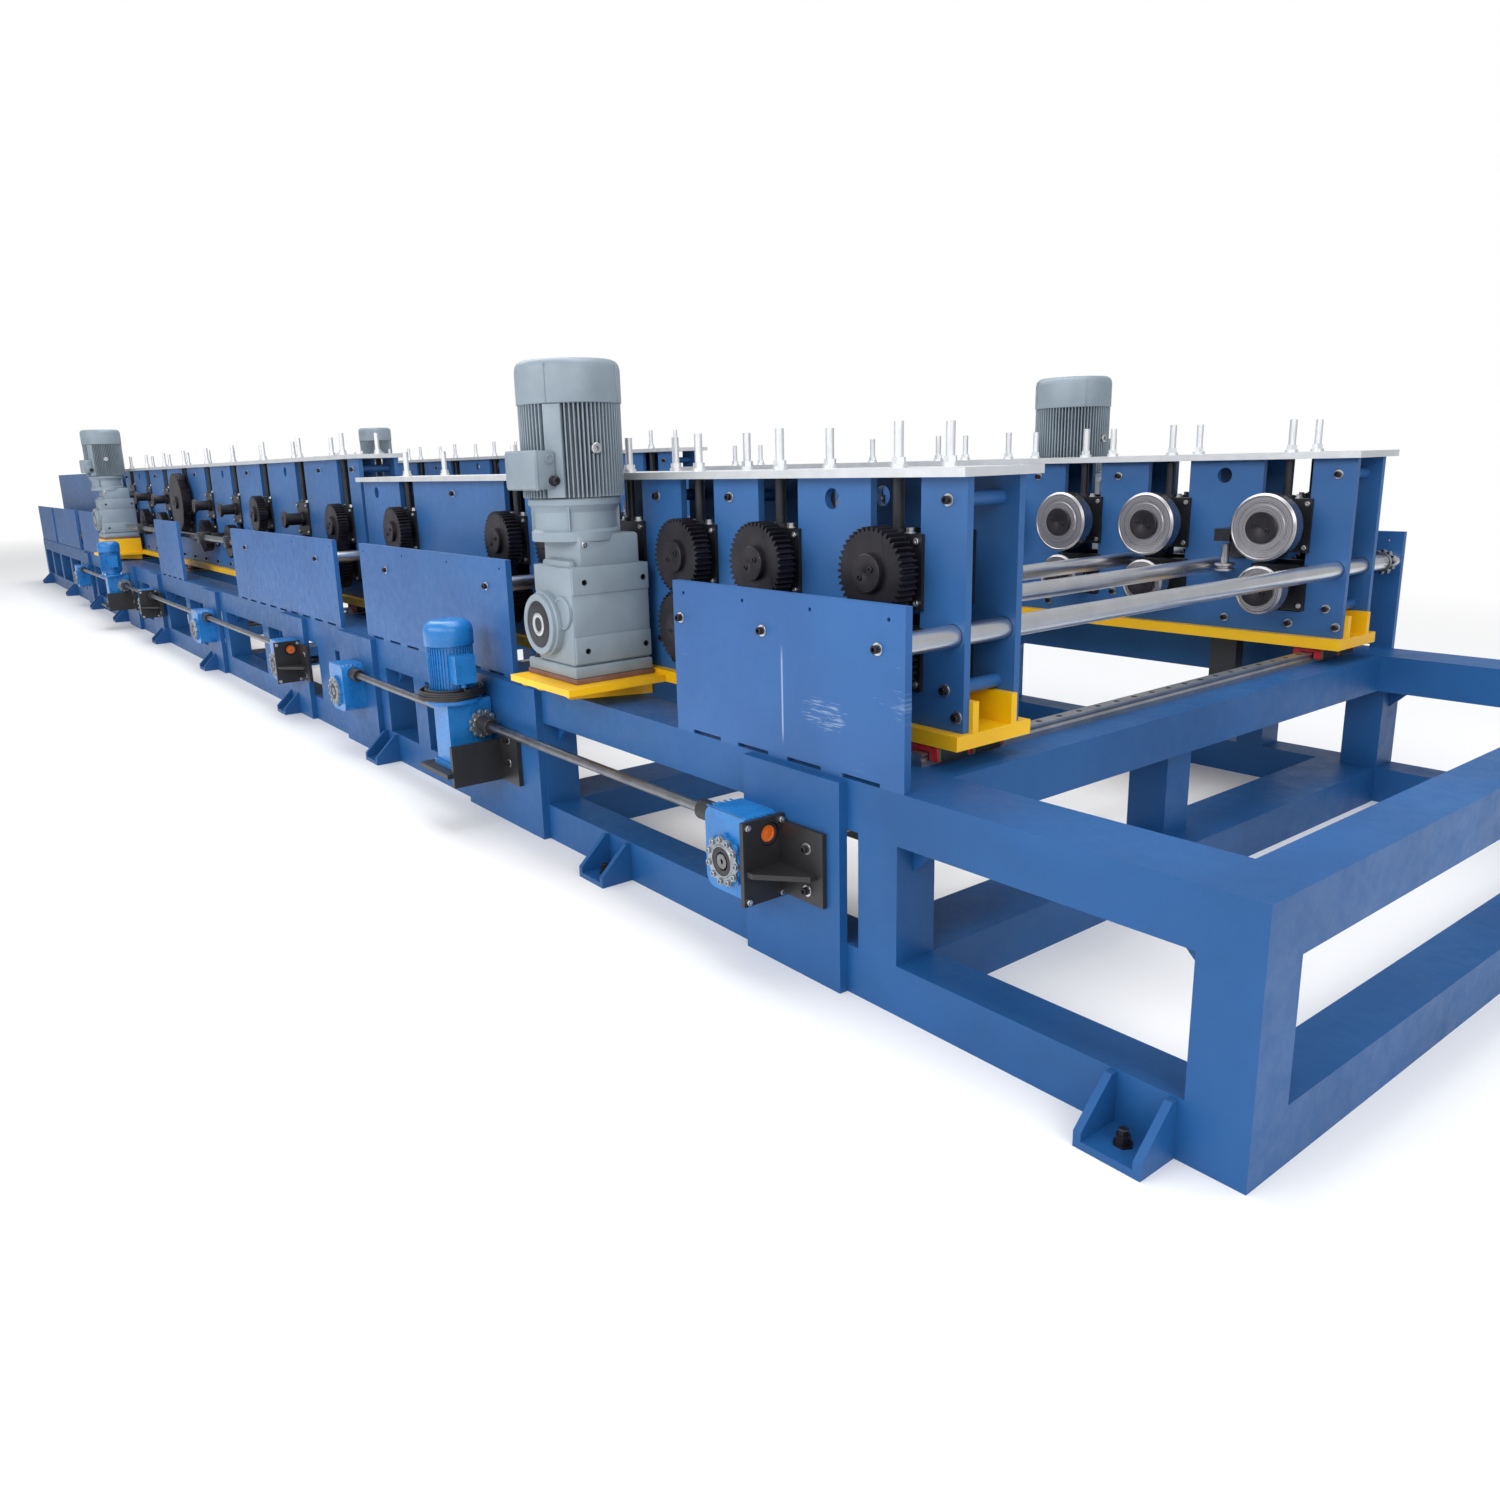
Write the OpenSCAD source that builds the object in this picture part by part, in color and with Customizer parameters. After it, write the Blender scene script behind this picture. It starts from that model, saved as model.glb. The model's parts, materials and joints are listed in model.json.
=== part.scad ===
// Width-adjustable roll forming machine with side-plate rafts on a long welded base.
// Every module works in millimetres with d = distance from the entry end of the base,
// y = distance inwards from its near long side and z = height above the floor.

/* [Base frame] */
// Length of the whole welded base
base_len = 19300; // [18600:50:21000]
// Width of the base over its long sides
base_w = 3096; // [2900:4:3400]
// Height of the base's top face
base_h = 650; // [600:5:720]
// Side of the square base beams
beam = 150; // [130:5:170]
// Width of the upper beams along the long sides
side_w = 220; // [180:5:240]
// Where the first base module ends
splice_1 = 5755; // [5720:5:5790]
// Where the second base module ends
splice_2 = 13480; // [13440:5:13520]
// Thickness of the splice plates and of the plates behind the reducers
splice_t = 30; // [20:1:40]
// Width of the beams that carry the rails
rail_beam = 250; // [200:10:280]
// Foot plate length along the base
foot_l = 170; // [140:5:200]
// How far a foot reaches out of the base
foot_reach = 130; // [110:5:150]
// Radius of the hole for a foot's anchor bolt
foot_hole_r = 13; // [9:0.5:16]
// Thickness of the foot plate and its gussets
foot_t = 20; // [12:1:28]

/* [Linear rails] */
// Width of a rail
rail_w = 45; // [35:1:55]
// Height of a rail
rail_h = 40; // [30:1:46]
// Width of a carriage block across its rail
block_w = 120; // [100:2:140]
// Length of a carriage block along its rail
block_l = 112; // [90:2:120]
// Underside of the yellow base plates above the base
carriage_h = 62; // [58:1:70]
// Gap between a carriage block and its rail
rail_gap = 0.5; // [0.3:0.1:1]

/* [Rafts] */
// Outer face of the outer side plate, in from the long side
raft_y = 294; // [284:1:310]
// Distance over the two side plates of a raft
raft_w = 243; // [230:1:260]
// Thickness of the side plates
plate_t = 25; // [20:1:30]
// Start of the first section's plates
a_start = 1042; // [1030:1:1046]
// End of the first section's plates
a_end = 5660; // [5500:5:5675]
// Top of the first section's plates
a_top = 1465; // [1440:5:1500]
// Start of the second section's plates
b_start = 5710; // [5705:1:5715]
// End of the second section's plates
b_end = 13330; // [13200:10:13400]
// Top of the second section's plates
b_top = 1600; // [1580:5:1640]
// Start of the exit section's plates
c_start = 14080; // [13900:10:14150]
// Room between the exit section's plates and the base's end
c_room = 450; // [350:10:800]
// Thickness of the yellow base plate
foot_plate_t = 43; // [35:1:50]
// Height of the yellow ribs on it
rib_h = 90; // [70:5:110]
// Thickness of the bright top plates
cap_t = 25; // [18:1:30]
// How far the top plates overhang the side plates
cap_over = 45; // [20:1:60]
// Radius of the tie bars between the side plates
tie_r = 21; // [15:1:25]

/* [Roll stands] */
// Width of a stand's window in the side plates
window_w = 200; // [190:2:210]
// Height of the lower roll shafts
shaft_z = 948; // [946:1:952]
// Radius of the roll shafts
shaft_r = 35; // [30:1:40]
// Running gap round the shafts
shaft_gap = 0.05; // [0.02:0.01:0.1]
// Pitch of the second section's stands
b_pitch = 865; // [850:1:870]
// Rise of the second section's shafts from stand to stand
b_rise = 18; // [10:1:18]
// Room between a window's sill and the lower bearing block
sill_gap = 6; // [2:1:10]
// Radius of the upper rolls
top_roll_r = 136; // [125:1:140]
// Radius of the lower rolls
low_roll_r = 98; // [85:1:102]
// Width of the rolls
roll_w = 100; // [80:2:110]
// Gap between a raft's inner plate and its rolls
roll_off = 74; // [66:1:90]
// Half height of the upper bearing blocks
top_block_h = 108; // [95:1:112]
// Half height of the lower bearing blocks
low_block_h = 92; // [85:1:94]
// Thickness of the bearing blocks' cheeks
cheek_t = 12; // [8:1:16]
// Overlap of the cheeks on the side plates
cheek_over = 15; // [10:1:20]

/* [Gears] */
// Teeth of the large intermediate gear
big_gear_n = 86; // [80:1:88]
// Face width of the gears
gear_face = 62; // [50:1:66]
// Backlash at the pitch circle
backlash = 0.5; // [0.4:0.1:0.8]
// Distance from the outer plate to the gears
gear_off = 42; // [38:1:48]
// Radius of the gears' end caps
gear_cap_r = 56; // [45:1:60]

/* [Guards and cross bars] */
// Thickness of the guard plates
guard_t = 25; // [15:1:28]
// Top edge of the guard plates
guard_top = 1150; // [1120:5:1180]
// Height of the chrome cross bars
bar_z = 1030; // [1020:1:1040]
// Radius of the chrome cross bars
bar_r = 32; // [28:1:34]
// Gap round the cross bars where they pass the rafts
bar_gap = 1.5; // [1:0.1:2]

/* [Width adjustment] */
// Height of the lead screws
screw_z = 342; // [335:1:350]
// Radius of the lead screws
screw_r = 25; // [20:1:28]
// Width of a reducer housing along the base
red_w = 215; // [190:5:230]
// Depth of a reducer housing
red_d = 120; // [110:2:130]
// Height of the long adjusting shafts above the lead screws
worm_up = 103; // [95:1:110]
// Radius of the long adjusting shafts
line_r = 18; // [14:1:20]
// Radius of the couplings
coupling_r = 32; // [28:1:36]
// How far the motor shelves reach out of the base
shelf_reach = 292; // [285:1:320]
// Radius of the small motors
small_motor_r = 98; // [85:1:100]
// Distance between a small motor's axis and the shaft that it turns
worm_off = 80; // [76:1:90]

/* [Main drives] */
// Radius of the main motors over their fins
motor_r = 187; // [170:1:190]
// Top of the main motors
motor_top = 1890; // [1850:5:1950]
// Radius of the flange round the hollow output
output_r = 113; // [90:1:116]
// How far the yellow motor brackets reach out of the base
bracket_reach = 165; // [140:1:175]
// How far the main motors' terminal boxes reach out of the base
box_reach = 185; // [180:1:200]

/* [Hidden] */
$fn = 48;

// Module and teeth of the shaft gears: together they set the distance between the shafts
gear_m = 6;
gear_n = 42;
mesh = gear_m * gear_n;

// Middle of everything across the machine
mid_y = (base_w + box_reach - shelf_reach) / 2;

// Heights that follow from the base and the rafts
carriage_z = base_h + carriage_h;
plate_z = carriage_z + foot_plate_t;
inner_y = raft_y + raft_w;
guard_z = base_h + 12;
worm_z = screw_z + worm_up;
worm_y = -splice_t - red_d / 2;

// Places in the last base module are given for its full length of 5820 and keep their share of it
function last(d) = splice_2 + (d - 13480) * (base_len - splice_2) / 5820;
c_end = base_len - c_room;

// Stands, rails, cross bars, tie bars and feet along the machine
a_places = [1310, 1837, 2283, 2740, 3210, 3710, 5000];
a_stands = [for (d = a_places) [d, shaft_z]];
a_drive = 3;
b_first = 6000;
b_count = 9;
b_step = 5;
b_stands = [for (i = [0 : b_count - 1]) [b_first + i * b_pitch, shaft_z + b_step + i * b_rise]];
b_drive = b_count - 1;
moving_stands = 3;
a_kinds = [gear_n, gear_n, gear_n, -1, gear_n, gear_n, gear_n];
b_kinds = [gear_n, 0, gear_n, 0, 0, big_gear_n, 0, 0, -1];
a_rails = [1160, 3160, 4930];
b_rails = [6010, 8300, 10500, 12900];
c_rails = [last(14600), last(16600), last(18500)];
rail_lead = 150;
a_bars = [1085, 1568, 1990, 3450, 4629];
b_bars = [5765, 7320];
a_ties = [1110, 2091, 2538, 4384];
b_ties = [5820, 6440, 8170, 9900, 11630, 13200];
c_ties = [last(14300), last(16200), last(18600)];
a_screws = [1576, 5155];
b_screws = [6326, 8540, 10738];
c_screws = [last(14901)];
all_screws = concat(a_screws, b_screws, c_screws);
held_reducers = [a_screws[0], b_screws[0], b_screws[2]];
motor_spots = [3500, 12060];
feet_1 = [249, 2462, 4775];
feet_2 = [6439, 8626, 10563, 12700];
feet_3 = [last(14300), last(16400), last(18900)];
posts_1 = [0, 1010, 3010, 4250, 4780, 5605];
posts_2 = [5785, 7000, 8150, 9400, 10350, 11500, 12750, 13300];
posts_3 = [for (d = [13510, 14450, 15450, 16450, 17450, 18350, 19150]) last(d)];
guards = [[985, 2030], [3250, 5000], [5440, 7700], [9500, 10450], [last(13780), last(15116)],
    [last(15433), last(17485)], [last(17677), last(19241)]];
far_guard_start = 1050;
hole_r = 32;
line_y = 105;
drive_front = -133;
drive_case = -88;
drive_back = 252;
drive_mid = 42;
drive_axis = -25;
shim_t = 20;
bracket_t = 25;
line_shaft_r = 24;
line_span = [7800, 12450];
line_holders = [8160, 9020, 11620];
side_roll_d = 1490;
side_roll_z = 1012;
flange_z = 560;
shelf_z = 262;
coil_in = 98;
coil_wide = 36;
coil_h = 58;

// Puts the origin under the middle of the machine
module placed() {
    translate([base_len / 2, -mid_y, 0]) children();
}

// Moves to distance d, depth y and height z
module at(d, y, z) {
    translate([-d, y, z]) children();
}

// Box between two distances, two depths and two heights
module slab(d, y, z) {
    translate([-d[1], y[0], z[0]]) cube([d[1] - d[0], y[1] - y[0], z[1] - z[0]]);
}

// The same shape on the far side of the machine
module far() {
    translate([0, base_w, 0]) mirror([0, 1, 0]) children();
}

// Round bar along the machine's width
module cross_rod(r, y0, y1) {
    translate([0, y0, 0]) rotate([-90, 0, 0]) cylinder(r = r, h = y1 - y0);
}

// Round bar along the machine's length, from d0 to d1
module long_rod(r, d0, d1) {
    translate([-d1, 0, 0]) rotate([0, 90, 0]) cylinder(r = r, h = d1 - d0);
}

// Stretch from before a place to after it
function around(d, before, after) = [d - before, d + after];

// Gusseted foot with the hole for its anchor bolt, centred on d
module foot(d) {
    difference() {
        slab([d - foot_l / 2, d + foot_l / 2], [-foot_reach, 0], [0, foot_t]);
        at(d, -foot_reach / 2, -1) cylinder(r = foot_hole_r, h = foot_t + 2);
    }
    for (side = [-1, 1])
        at(d + side * (foot_l - foot_t) / 2, 0, foot_t)
            rotate([90, 0, -90]) linear_extrude(foot_t, center = true)
                polygon([[0, 0], [foot_reach, 0], [foot_reach, foot_t], [foot_t, beam - foot_t - 5],
                    [0, beam - foot_t - 5]]);
}

// Triangle that stiffens the corner between a post and the upper beam
module corner_plate(d, side) {
    at(d, beam / 2, base_h - beam)
        rotate([90, 0, 0]) linear_extrude(foot_t, center = true)
            polygon([[0, 0], [side * beam * 0.6, 0], [0, -beam * 0.6]]);
}

// One long side of a base module: upper and lower beam, posts, feet and reducer plates
module side_frame(d0, d1, posts, feet, plates, ends, bearers) {
    bearer_w = 120;
    slab([d0, d1], [0, side_w], [base_h - beam, base_h]);
    slab([d0, d1], [0, beam], [0, beam]);
    for (b = bearers)
        slab([b - bearer_w / 2, b + bearer_w / 2], [0, beam], [beam - 1, base_h - beam + 1]);
    for (p = posts) {
        slab([p, p + beam], [0, beam], [beam - 1, base_h - beam + 1]);
        if (p > d0 + beam) corner_plate(p, 1);
        if (p + 2 * beam < d1) corner_plate(p + beam, -1);
    }
    for (f = feet) foot(f);
    for (p = plates)
        difference() {
            slab(p, [-splice_t, 0], [0, base_h - 8]);
            for (s = all_screws) at(s, 0, screw_z) cross_rod(screw_r + 1, -splice_t - 1, 1);
        }
    for (e = ends) slab([e, e + splice_t], [0, side_w + 60], [0, base_h - 6]);
}

// Frame across the base: upper beam, lower beam and middle post
module cross_frame(d, w) {
    slab([d, d + w], [side_w, base_w - side_w], [base_h - beam, base_h]);
    slab([d, d + w], [beam, base_w - beam], [0, beam]);
    if (w > beam)
        slab([d + w - beam, d + w], [(base_w - beam) / 2, (base_w + beam) / 2],
            [beam - 1, base_h - beam + 1]);
}

module base_sides_1() {
    plates = [around(a_screws[0], 371, 64), around(motor_spots[0], 485, 240), around(a_screws[1], 265, 275)];
    color("#33588f") placed() {
        side_frame(0, splice_1, posts_1, feet_1, plates, [splice_1 - splice_t], []);
        far() side_frame(0, splice_1, posts_1, feet_1, [], [splice_1 - splice_t], a_screws);
    }
}

module base_cross_1() {
    color("#33588f") placed() {
        cross_frame(0, beam);
        for (r = a_rails) cross_frame(r - rail_lead, rail_beam);
    }
}

module base_sides_2() {
    plates = [around(b_screws[0], 226, 234), around(b_screws[1], 230, 230), around(b_screws[2], 218, 232),
        around(motor_spots[1], 310, 300)];
    color("#33588f") placed() {
        side_frame(splice_1, splice_2, posts_2, feet_2, plates, [splice_1, splice_2 - splice_t], []);
        far() side_frame(splice_1, splice_2, posts_2, feet_2, [], [splice_1, splice_2 - splice_t],
            b_screws);
    }
}

module base_cross_2() {
    color("#33588f") placed()
        for (r = b_rails) cross_frame(r - rail_lead, rail_beam);
}

module base_sides_3() {
    color("#33588f") placed() {
        side_frame(splice_2, base_len, posts_3, feet_3, [around(c_screws[0], 221, 229)], [splice_2], []);
        far() side_frame(splice_2, base_len, posts_3, feet_3, [], [splice_2], c_screws);
    }
}

module base_cross_3() {
    color("#33588f") placed() {
        for (r = c_rails) cross_frame(r - rail_lead, rail_beam);
        cross_frame(base_len - beam, beam);
    }
}

// Rails across the base, one on each rail beam
module linear_rails() {
    groove = 5;
    color("#9a9c9e") placed()
        for (r = concat(a_rails, b_rails, c_rails))
            translate([-r, 230, base_h]) rotate([-90, 0, 0])
                linear_extrude(base_w - 460)
                    polygon([[-rail_w / 2, 0], [rail_w / 2, 0], [rail_w / 2, -rail_h * 0.4],
                        [rail_w / 2 - groove, -rail_h * 0.6], [rail_w / 2, -rail_h * 0.8],
                        [rail_w / 2, -rail_h], [-rail_w / 2, -rail_h], [-rail_w / 2, -rail_h * 0.8],
                        [groove - rail_w / 2, -rail_h * 0.6], [-rail_w / 2, -rail_h * 0.4]]);
}

// One guard plate on the long side's edge, with the tabs it stands on
module guard(d0, d1) {
    tab = 90;
    count = floor((d1 - d0) / (2.6 * tab));
    step = (d1 - d0 - tab) / max(count, 1);
    difference() {
        union() {
            slab([d0, d1], [0, guard_t], [guard_z, guard_top]);
            for (i = [0 : count])
                slab([d0 + i * step, d0 + i * step + tab], [0, guard_t], [base_h, guard_z + 1]);
        }
        for (i = [0 : 3])
            at(d0 + 60 + i * (d1 - d0 - 120) / 3, -1, guard_top - 38) cross_rod(6, 0, guard_t + 2);
    }
}

module guard_plates() {
    color("#33588f") placed() {
        for (g = guards) guard(g[0], g[1]);
        far() {
            guard(far_guard_start, guards[0][1]);
            for (i = [1 : len(guards) - 1]) guard(guards[i][0], guards[i][1]);
        }
    }
}

// Chrome bars from guard to guard or between the rafts' bores
module guide_bars() {
    color("#c9cccf") placed() {
        for (b = a_bars)
            at(b, 0, bar_z) cross_rod(bar_r, guard_t, base_w - guard_t);
        for (b = b_bars)
            at(b, 0, bar_z) cross_rod(bar_r, guard_t, base_w - guard_t);
    }
}

// Housing of a right-angle worm reducer, output along the width and worm along the length
module reducer(d) {
    corner = 40;
    hub_r = 78;
    at(d, -splice_t - red_d, screw_z) {
        difference() {
            union() {
                rotate([-90, 0, 0]) linear_extrude(red_d)
                    rounded_box(red_w, red_w / 2, worm_up + 52, corner);
                rotate([90, 0, 0]) cylinder(r = hub_r, h = 12);
                for (i = [0 : 7])
                    rotate([0, i * 45, 0]) translate([0, 0, hub_r - 4])
                        rotate([90, 0, 0]) cylinder(r = 13, h = 10);
            }
            translate([0, 1, 0]) rotate([90, 0, 0]) cylinder(r = screw_r - 3, h = 40);
        }
        translate([0, red_d / 2, worm_up]) long_rod(42, -red_w / 2 - 10, red_w / 2 + 10);
    }
}

// Rounded rectangle: width, drop below the axis, rise above it and corner radius
module rounded_box(w, drop, rise, r) {
    square_w = w - 2 * r;
    translate([-w / 2, -rise + r]) square([w, drop + rise - 2 * r]);
    translate([-square_w / 2, -rise]) square([square_w, drop + rise]);
    for (x = [-1, 1])
        for (z = [r - rise, drop - r])
            translate([x * square_w / 2, z]) circle(r = r);
}

module adjust_reducers() {
    color("#1f6fb8") placed()
        for (d = all_screws) reducer(d);
}

// Black bracket that holds a reducer by its end face
module reducer_bracket(d) {
    arm_t = 16;
    face_d = d - red_w / 2 - 10;
    root = 200;
    difference() {
        slab([face_d - arm_t, face_d], [-splice_t - red_d - 40, -splice_t],
            [screw_z - 105, screw_z + 156]);
        at(0, worm_y, worm_z) long_rod(coupling_r + 6, face_d - arm_t - 1, face_d + 1);
    }
    slab([face_d - root, face_d - arm_t], [-splice_t - arm_t, -splice_t], [screw_z - 90, screw_z + 137]);
    at(face_d - arm_t, -splice_t - arm_t, screw_z - 8)
        linear_extrude(arm_t)
            polygon([[0, 0], [root - arm_t - 25, 0], [root - arm_t - 25, -25], [30, 24 - red_d - 40],
                [0, 24 - red_d - 40]]);
}

// Shelf under a small motor and its reducer
module motor_shelf(d) {
    shelf_t = 20;
    slab([d - 150, d + 150], [-shelf_reach, -splice_t], [shelf_z - shelf_t, shelf_z]);
    slab([d - 330, d - 150], [-splice_t - shelf_t, -splice_t], [shelf_z - 60, shelf_z + 170]);
    slab([d - 150 - shelf_t, d - 150], [-shelf_reach + 20, -splice_t], [shelf_z - 60, shelf_z + 120]);
}

module adjust_brackets() {
    color("#222326") placed() {
        for (d = held_reducers) reducer_bracket(d);
        for (d = motor_spots) motor_shelf(d);
    }
}

// Small upright motor on a worm reducer that turns the long shafts
module small_motor(d) {
    hub_r = 54;
    half = 75;
    foot_over = 20;
    foot_h = 24;
    back = -splice_t - 4 - worm_y;
    front = 64 + worm_off;
    neck_r = 80;
    neck_h = 30;
    motor_z = flange_z + neck_h;
    box_size = [75, 90, 120];
    box_z = flange_z + 80;
    cap_z = flange_z + 240;
    cap_h = 60;
    cap_r = small_motor_r + 6;
    crown_r = 62;
    crown_h = 40;
    gland_r = 12;
    at(d, worm_y, 0) {
        difference() {
            union() {
                translate([-half - foot_over, -front - foot_over / 2, shelf_z])
                    cube([2 * (half + foot_over), front + foot_over / 2 + back, foot_h]);
                translate([-half, -front, shelf_z + foot_h - 4])
                    cube([2 * half, front + back, flange_z - shelf_z - foot_h - 2]);
                translate([0, 0, worm_z]) long_rod(hub_r, -half - foot_over, half + foot_over);
                translate([0, -worm_off, flange_z - 16]) cylinder(r = small_motor_r + 20, h = 18);
            }
            translate([0, 0, worm_z]) long_rod(line_r + shaft_gap, -2 * half, 2 * half);
        }
        translate([0, -worm_off, flange_z]) cylinder(r = neck_r, h = neck_h + 1);
        translate([0, -worm_off, motor_z]) cylinder(r = small_motor_r - 6, h = cap_z - motor_z);
        translate([0, -worm_off, cap_z]) cylinder(r = cap_r, h = cap_h);
        translate([0, -worm_off, cap_z + cap_h]) cylinder(r1 = cap_r, r2 = crown_r, h = crown_h);
        translate([small_motor_r - 20, -worm_off - box_size[1] / 2, box_z]) cube(box_size);
        translate([small_motor_r + 20, -worm_off, flange_z + 2 + coil_h])
            cylinder(r = gland_r, h = box_z - flange_z - coil_h);
    }
}

module adjust_motors() {
    color("#2a62a8") placed()
        for (d = motor_spots) small_motor(d);
}

// The cable wound round the first small motor's neck
module motor_cable() {
    color("#1b1b1d") placed()
        at(motor_spots[0], worm_y - worm_off, flange_z + 2)
            rotate_extrude() translate([coil_in, 0]) square([coil_wide, coil_h]);
}

// Screws across the base that move each pair of rafts
module lead_screws() {
    color("#8d8f92") placed()
        for (d = all_screws)
            at(d, 0, screw_z) cross_rod(screw_r, -splice_t, base_w - beam);
}

// Long shafts between the reducers, with a coupling at each end
module adjust_shafts() {
    joint_l = 85;
    gap = red_w / 2 + 10;
    runs = [[a_screws[0] + gap, a_screws[1] - gap], [b_screws[0] + gap, b_screws[1] - gap],
        [b_screws[1] + gap, b_screws[2] - gap], [b_screws[2] + gap, c_screws[0] - gap]];
    color("#77797c") placed()
        translate([0, worm_y, worm_z])
            for (run = runs) {
                long_rod(line_r, run[0], run[1]);
                long_rod(coupling_r, run[0], run[0] + joint_l);
                long_rod(coupling_r, run[1] - joint_l, run[1]);
            }
}

// Outline of a side plate with its windows, seen from outside
module plate_outline(d0, d1, top, stands, bars, holes) {
    difference() {
        translate([-d1, plate_z]) square([d1 - d0, top - plate_z]);
        for (s = stands)
            translate([-s[0] - window_w / 2, s[1] - low_block_h - sill_gap]) square([window_w, top]);
        for (b = bars)
            translate([-b, bar_z]) circle(r = bar_r + bar_gap);
        for (h = holes)
            translate([-h[0], h[1]]) circle(r = hole_r);
    }
}

// Two side plates of a raft and the tie bars between them
module raft_plates(d0, d1, top, stands, bars, ties, holes) {
    for (y = [raft_y + plate_t, inner_y])
        translate([0, y, 0]) rotate([90, 0, 0]) linear_extrude(plate_t)
            plate_outline(d0, d1, top, stands, bars, holes);
    for (t = ties)
        at(t, 0, top - 62) cross_rod(tie_r, raft_y + plate_t - 1, inner_y - plate_t + 1);
    for (t = ties)
        at(t, 0, plate_z + rib_h + 5 + tie_r) cross_rod(tie_r, raft_y + plate_t - 1, inner_y - plate_t + 1);
}

// Yellow base plate with ribs, nut brackets, carriage blocks and, at dd, a motor bracket
module raft_carriage(d0, d1, screws, dd, lift) {
    side_over = 40;
    nut_w = 120;
    nut_t = 60;
    mid = (raft_y + inner_y) / 2;
    end_over = 14;
    slab([d0 - end_over, d1 + end_over], [raft_y - side_over, inner_y + side_over], [carriage_z, plate_z]);
    for (y = [raft_y + plate_t, inner_y - 2 * plate_t])
        slab([d0 - end_over, d1], [y, y + plate_t], [plate_z - 1, plate_z + rib_h]);
    for (s = screws)
        difference() {
            slab([s - nut_w / 2, s + nut_w / 2], [mid - nut_t / 2, mid + nut_t / 2],
                [screw_z - nut_w / 2, carriage_z + 1]);
            at(s, 0, screw_z) cross_rod(screw_r + 1, mid - nut_t, mid + nut_t);
        }
    if (dd > 0) {
        reach = raft_y - side_over + bracket_reach;
        slab([dd - 265, dd + 195], [-bracket_reach, raft_y - side_over + 1], [carriage_z, carriage_z + bracket_t]);
        if (lift > 0)
            slab([dd - 205, dd + 190], [drive_case - 10, drive_back - 2],
                [carriage_z + bracket_t - 1, carriage_z + bracket_t + lift]);
        for (g = [-175, 60, 180])
            at(dd + g, raft_y - side_over, carriage_z + 1)
                rotate([90, 0, -90]) linear_extrude(20, center = true)
                    polygon([[0, 0], [reach - 20, 0], [reach - 50, -28], [0, 6 - carriage_h]]);
    }
}

// Carriage blocks of one raft, two on each rail
module carriage_blocks(rails) {
    skirt = 14;
    for (r = rails)
        for (y = [raft_y - 20, raft_y + 128])
            difference() {
                slab([r - block_w / 2, r + block_w / 2], [y, y + block_l], [base_h + skirt, carriage_z]);
                slab([r - rail_w / 2 - rail_gap, r + rail_w / 2 + rail_gap], [y - 1, y + block_l + 1],
                    [base_h, base_h + rail_h + rail_gap]);
            }
}

// Bright top plate with the adjusting screws' heads that stand on it
module raft_top(d0, d1, top, stands) {
    end_over = 28;
    head_h = 130;
    rows = [raft_y + plate_t / 2, inner_y - plate_t / 2];
    slab([d0 - end_over, d1 + 4], [raft_y - cap_over, inner_y + cap_over], [top, top + cap_t]);
    for (s = stands)
        for (y = rows)
            at(s[0], y, top + cap_t - 1) {
                cylinder(r = 14, h = head_h + 1);
                cylinder(r = 25, h = 13);
                cylinder(r = 21, h = 31, $fn = 6);
            }
}

// Bearing block in a window: body between the window's sides, cheeks over the plate
module bearing_block(s, y, z, half) {
    body = window_w - 0.6;
    cheek = window_w + 2 * cheek_over;
    difference() {
        union() {
            slab([s - body / 2, s + body / 2], [y - 1, y + plate_t + 1], [z - half, z + half]);
            for (cheek_y = [y - cheek_t, y + plate_t])
                slab([s - cheek / 2, s + cheek / 2], [cheek_y, cheek_y + cheek_t], [z - half, z + half]);
        }
        at(s, 0, z) cross_rod(shaft_r + shaft_gap, y - cheek_t - 1, y + plate_t + cheek_t + 1);
    }
}

// All bearing blocks of a raft with the dark screws above them
module raft_blocks(top, stands, rails) {
    for (s = stands)
        for (y = [raft_y, inner_y - plate_t]) {
            bearing_block(s[0], y, s[1], low_block_h);
            bearing_block(s[0], y, s[1] + mesh, top_block_h);
            at(s[0], y + plate_t / 2, s[1] + mesh + top_block_h - 1) {
                cylinder(r = 17, h = top - s[1] - mesh - top_block_h + 1);
                cylinder(r = 30, h = 14);
            }
        }
    carriage_blocks(rails);
}

// Point on an involute flank: base radius, radius, angle at the pitch circle and side
function roll_angle(r, rb) = sqrt(pow(r / rb, 2) - 1) * 180 / PI - acos(rb / r);
function flank(r, rb, half, side) =
    let (a = side * (half - roll_angle(r, rb))) [r * cos(a), r * sin(a)];

// Outline of a spur gear, a tooth on the first axis; each flank is the chord of its involute
module gear_outline(n) {
    rp = gear_m * n / 2;
    rb = rp * cos(20);
    ra = rp + gear_m;
    rf = rp - 1.25 * gear_m;
    half = (90 / n - backlash / rp * 90 / PI) + roll_angle(rp, rb);
    low = max(rb + 0.01, rf);
    tooth = [flank(low, rb, half, -1), flank(ra, rb, half, -1), flank(ra, rb, half, 1),
        flank(low, rb, half, 1)];
    polygon([for (t = [0 : n - 1], p = tooth)
        let (a = t * 360 / n)
        [p[0] * cos(a) - p[1] * sin(a), p[0] * sin(a) + p[1] * cos(a)]]);
}

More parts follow.
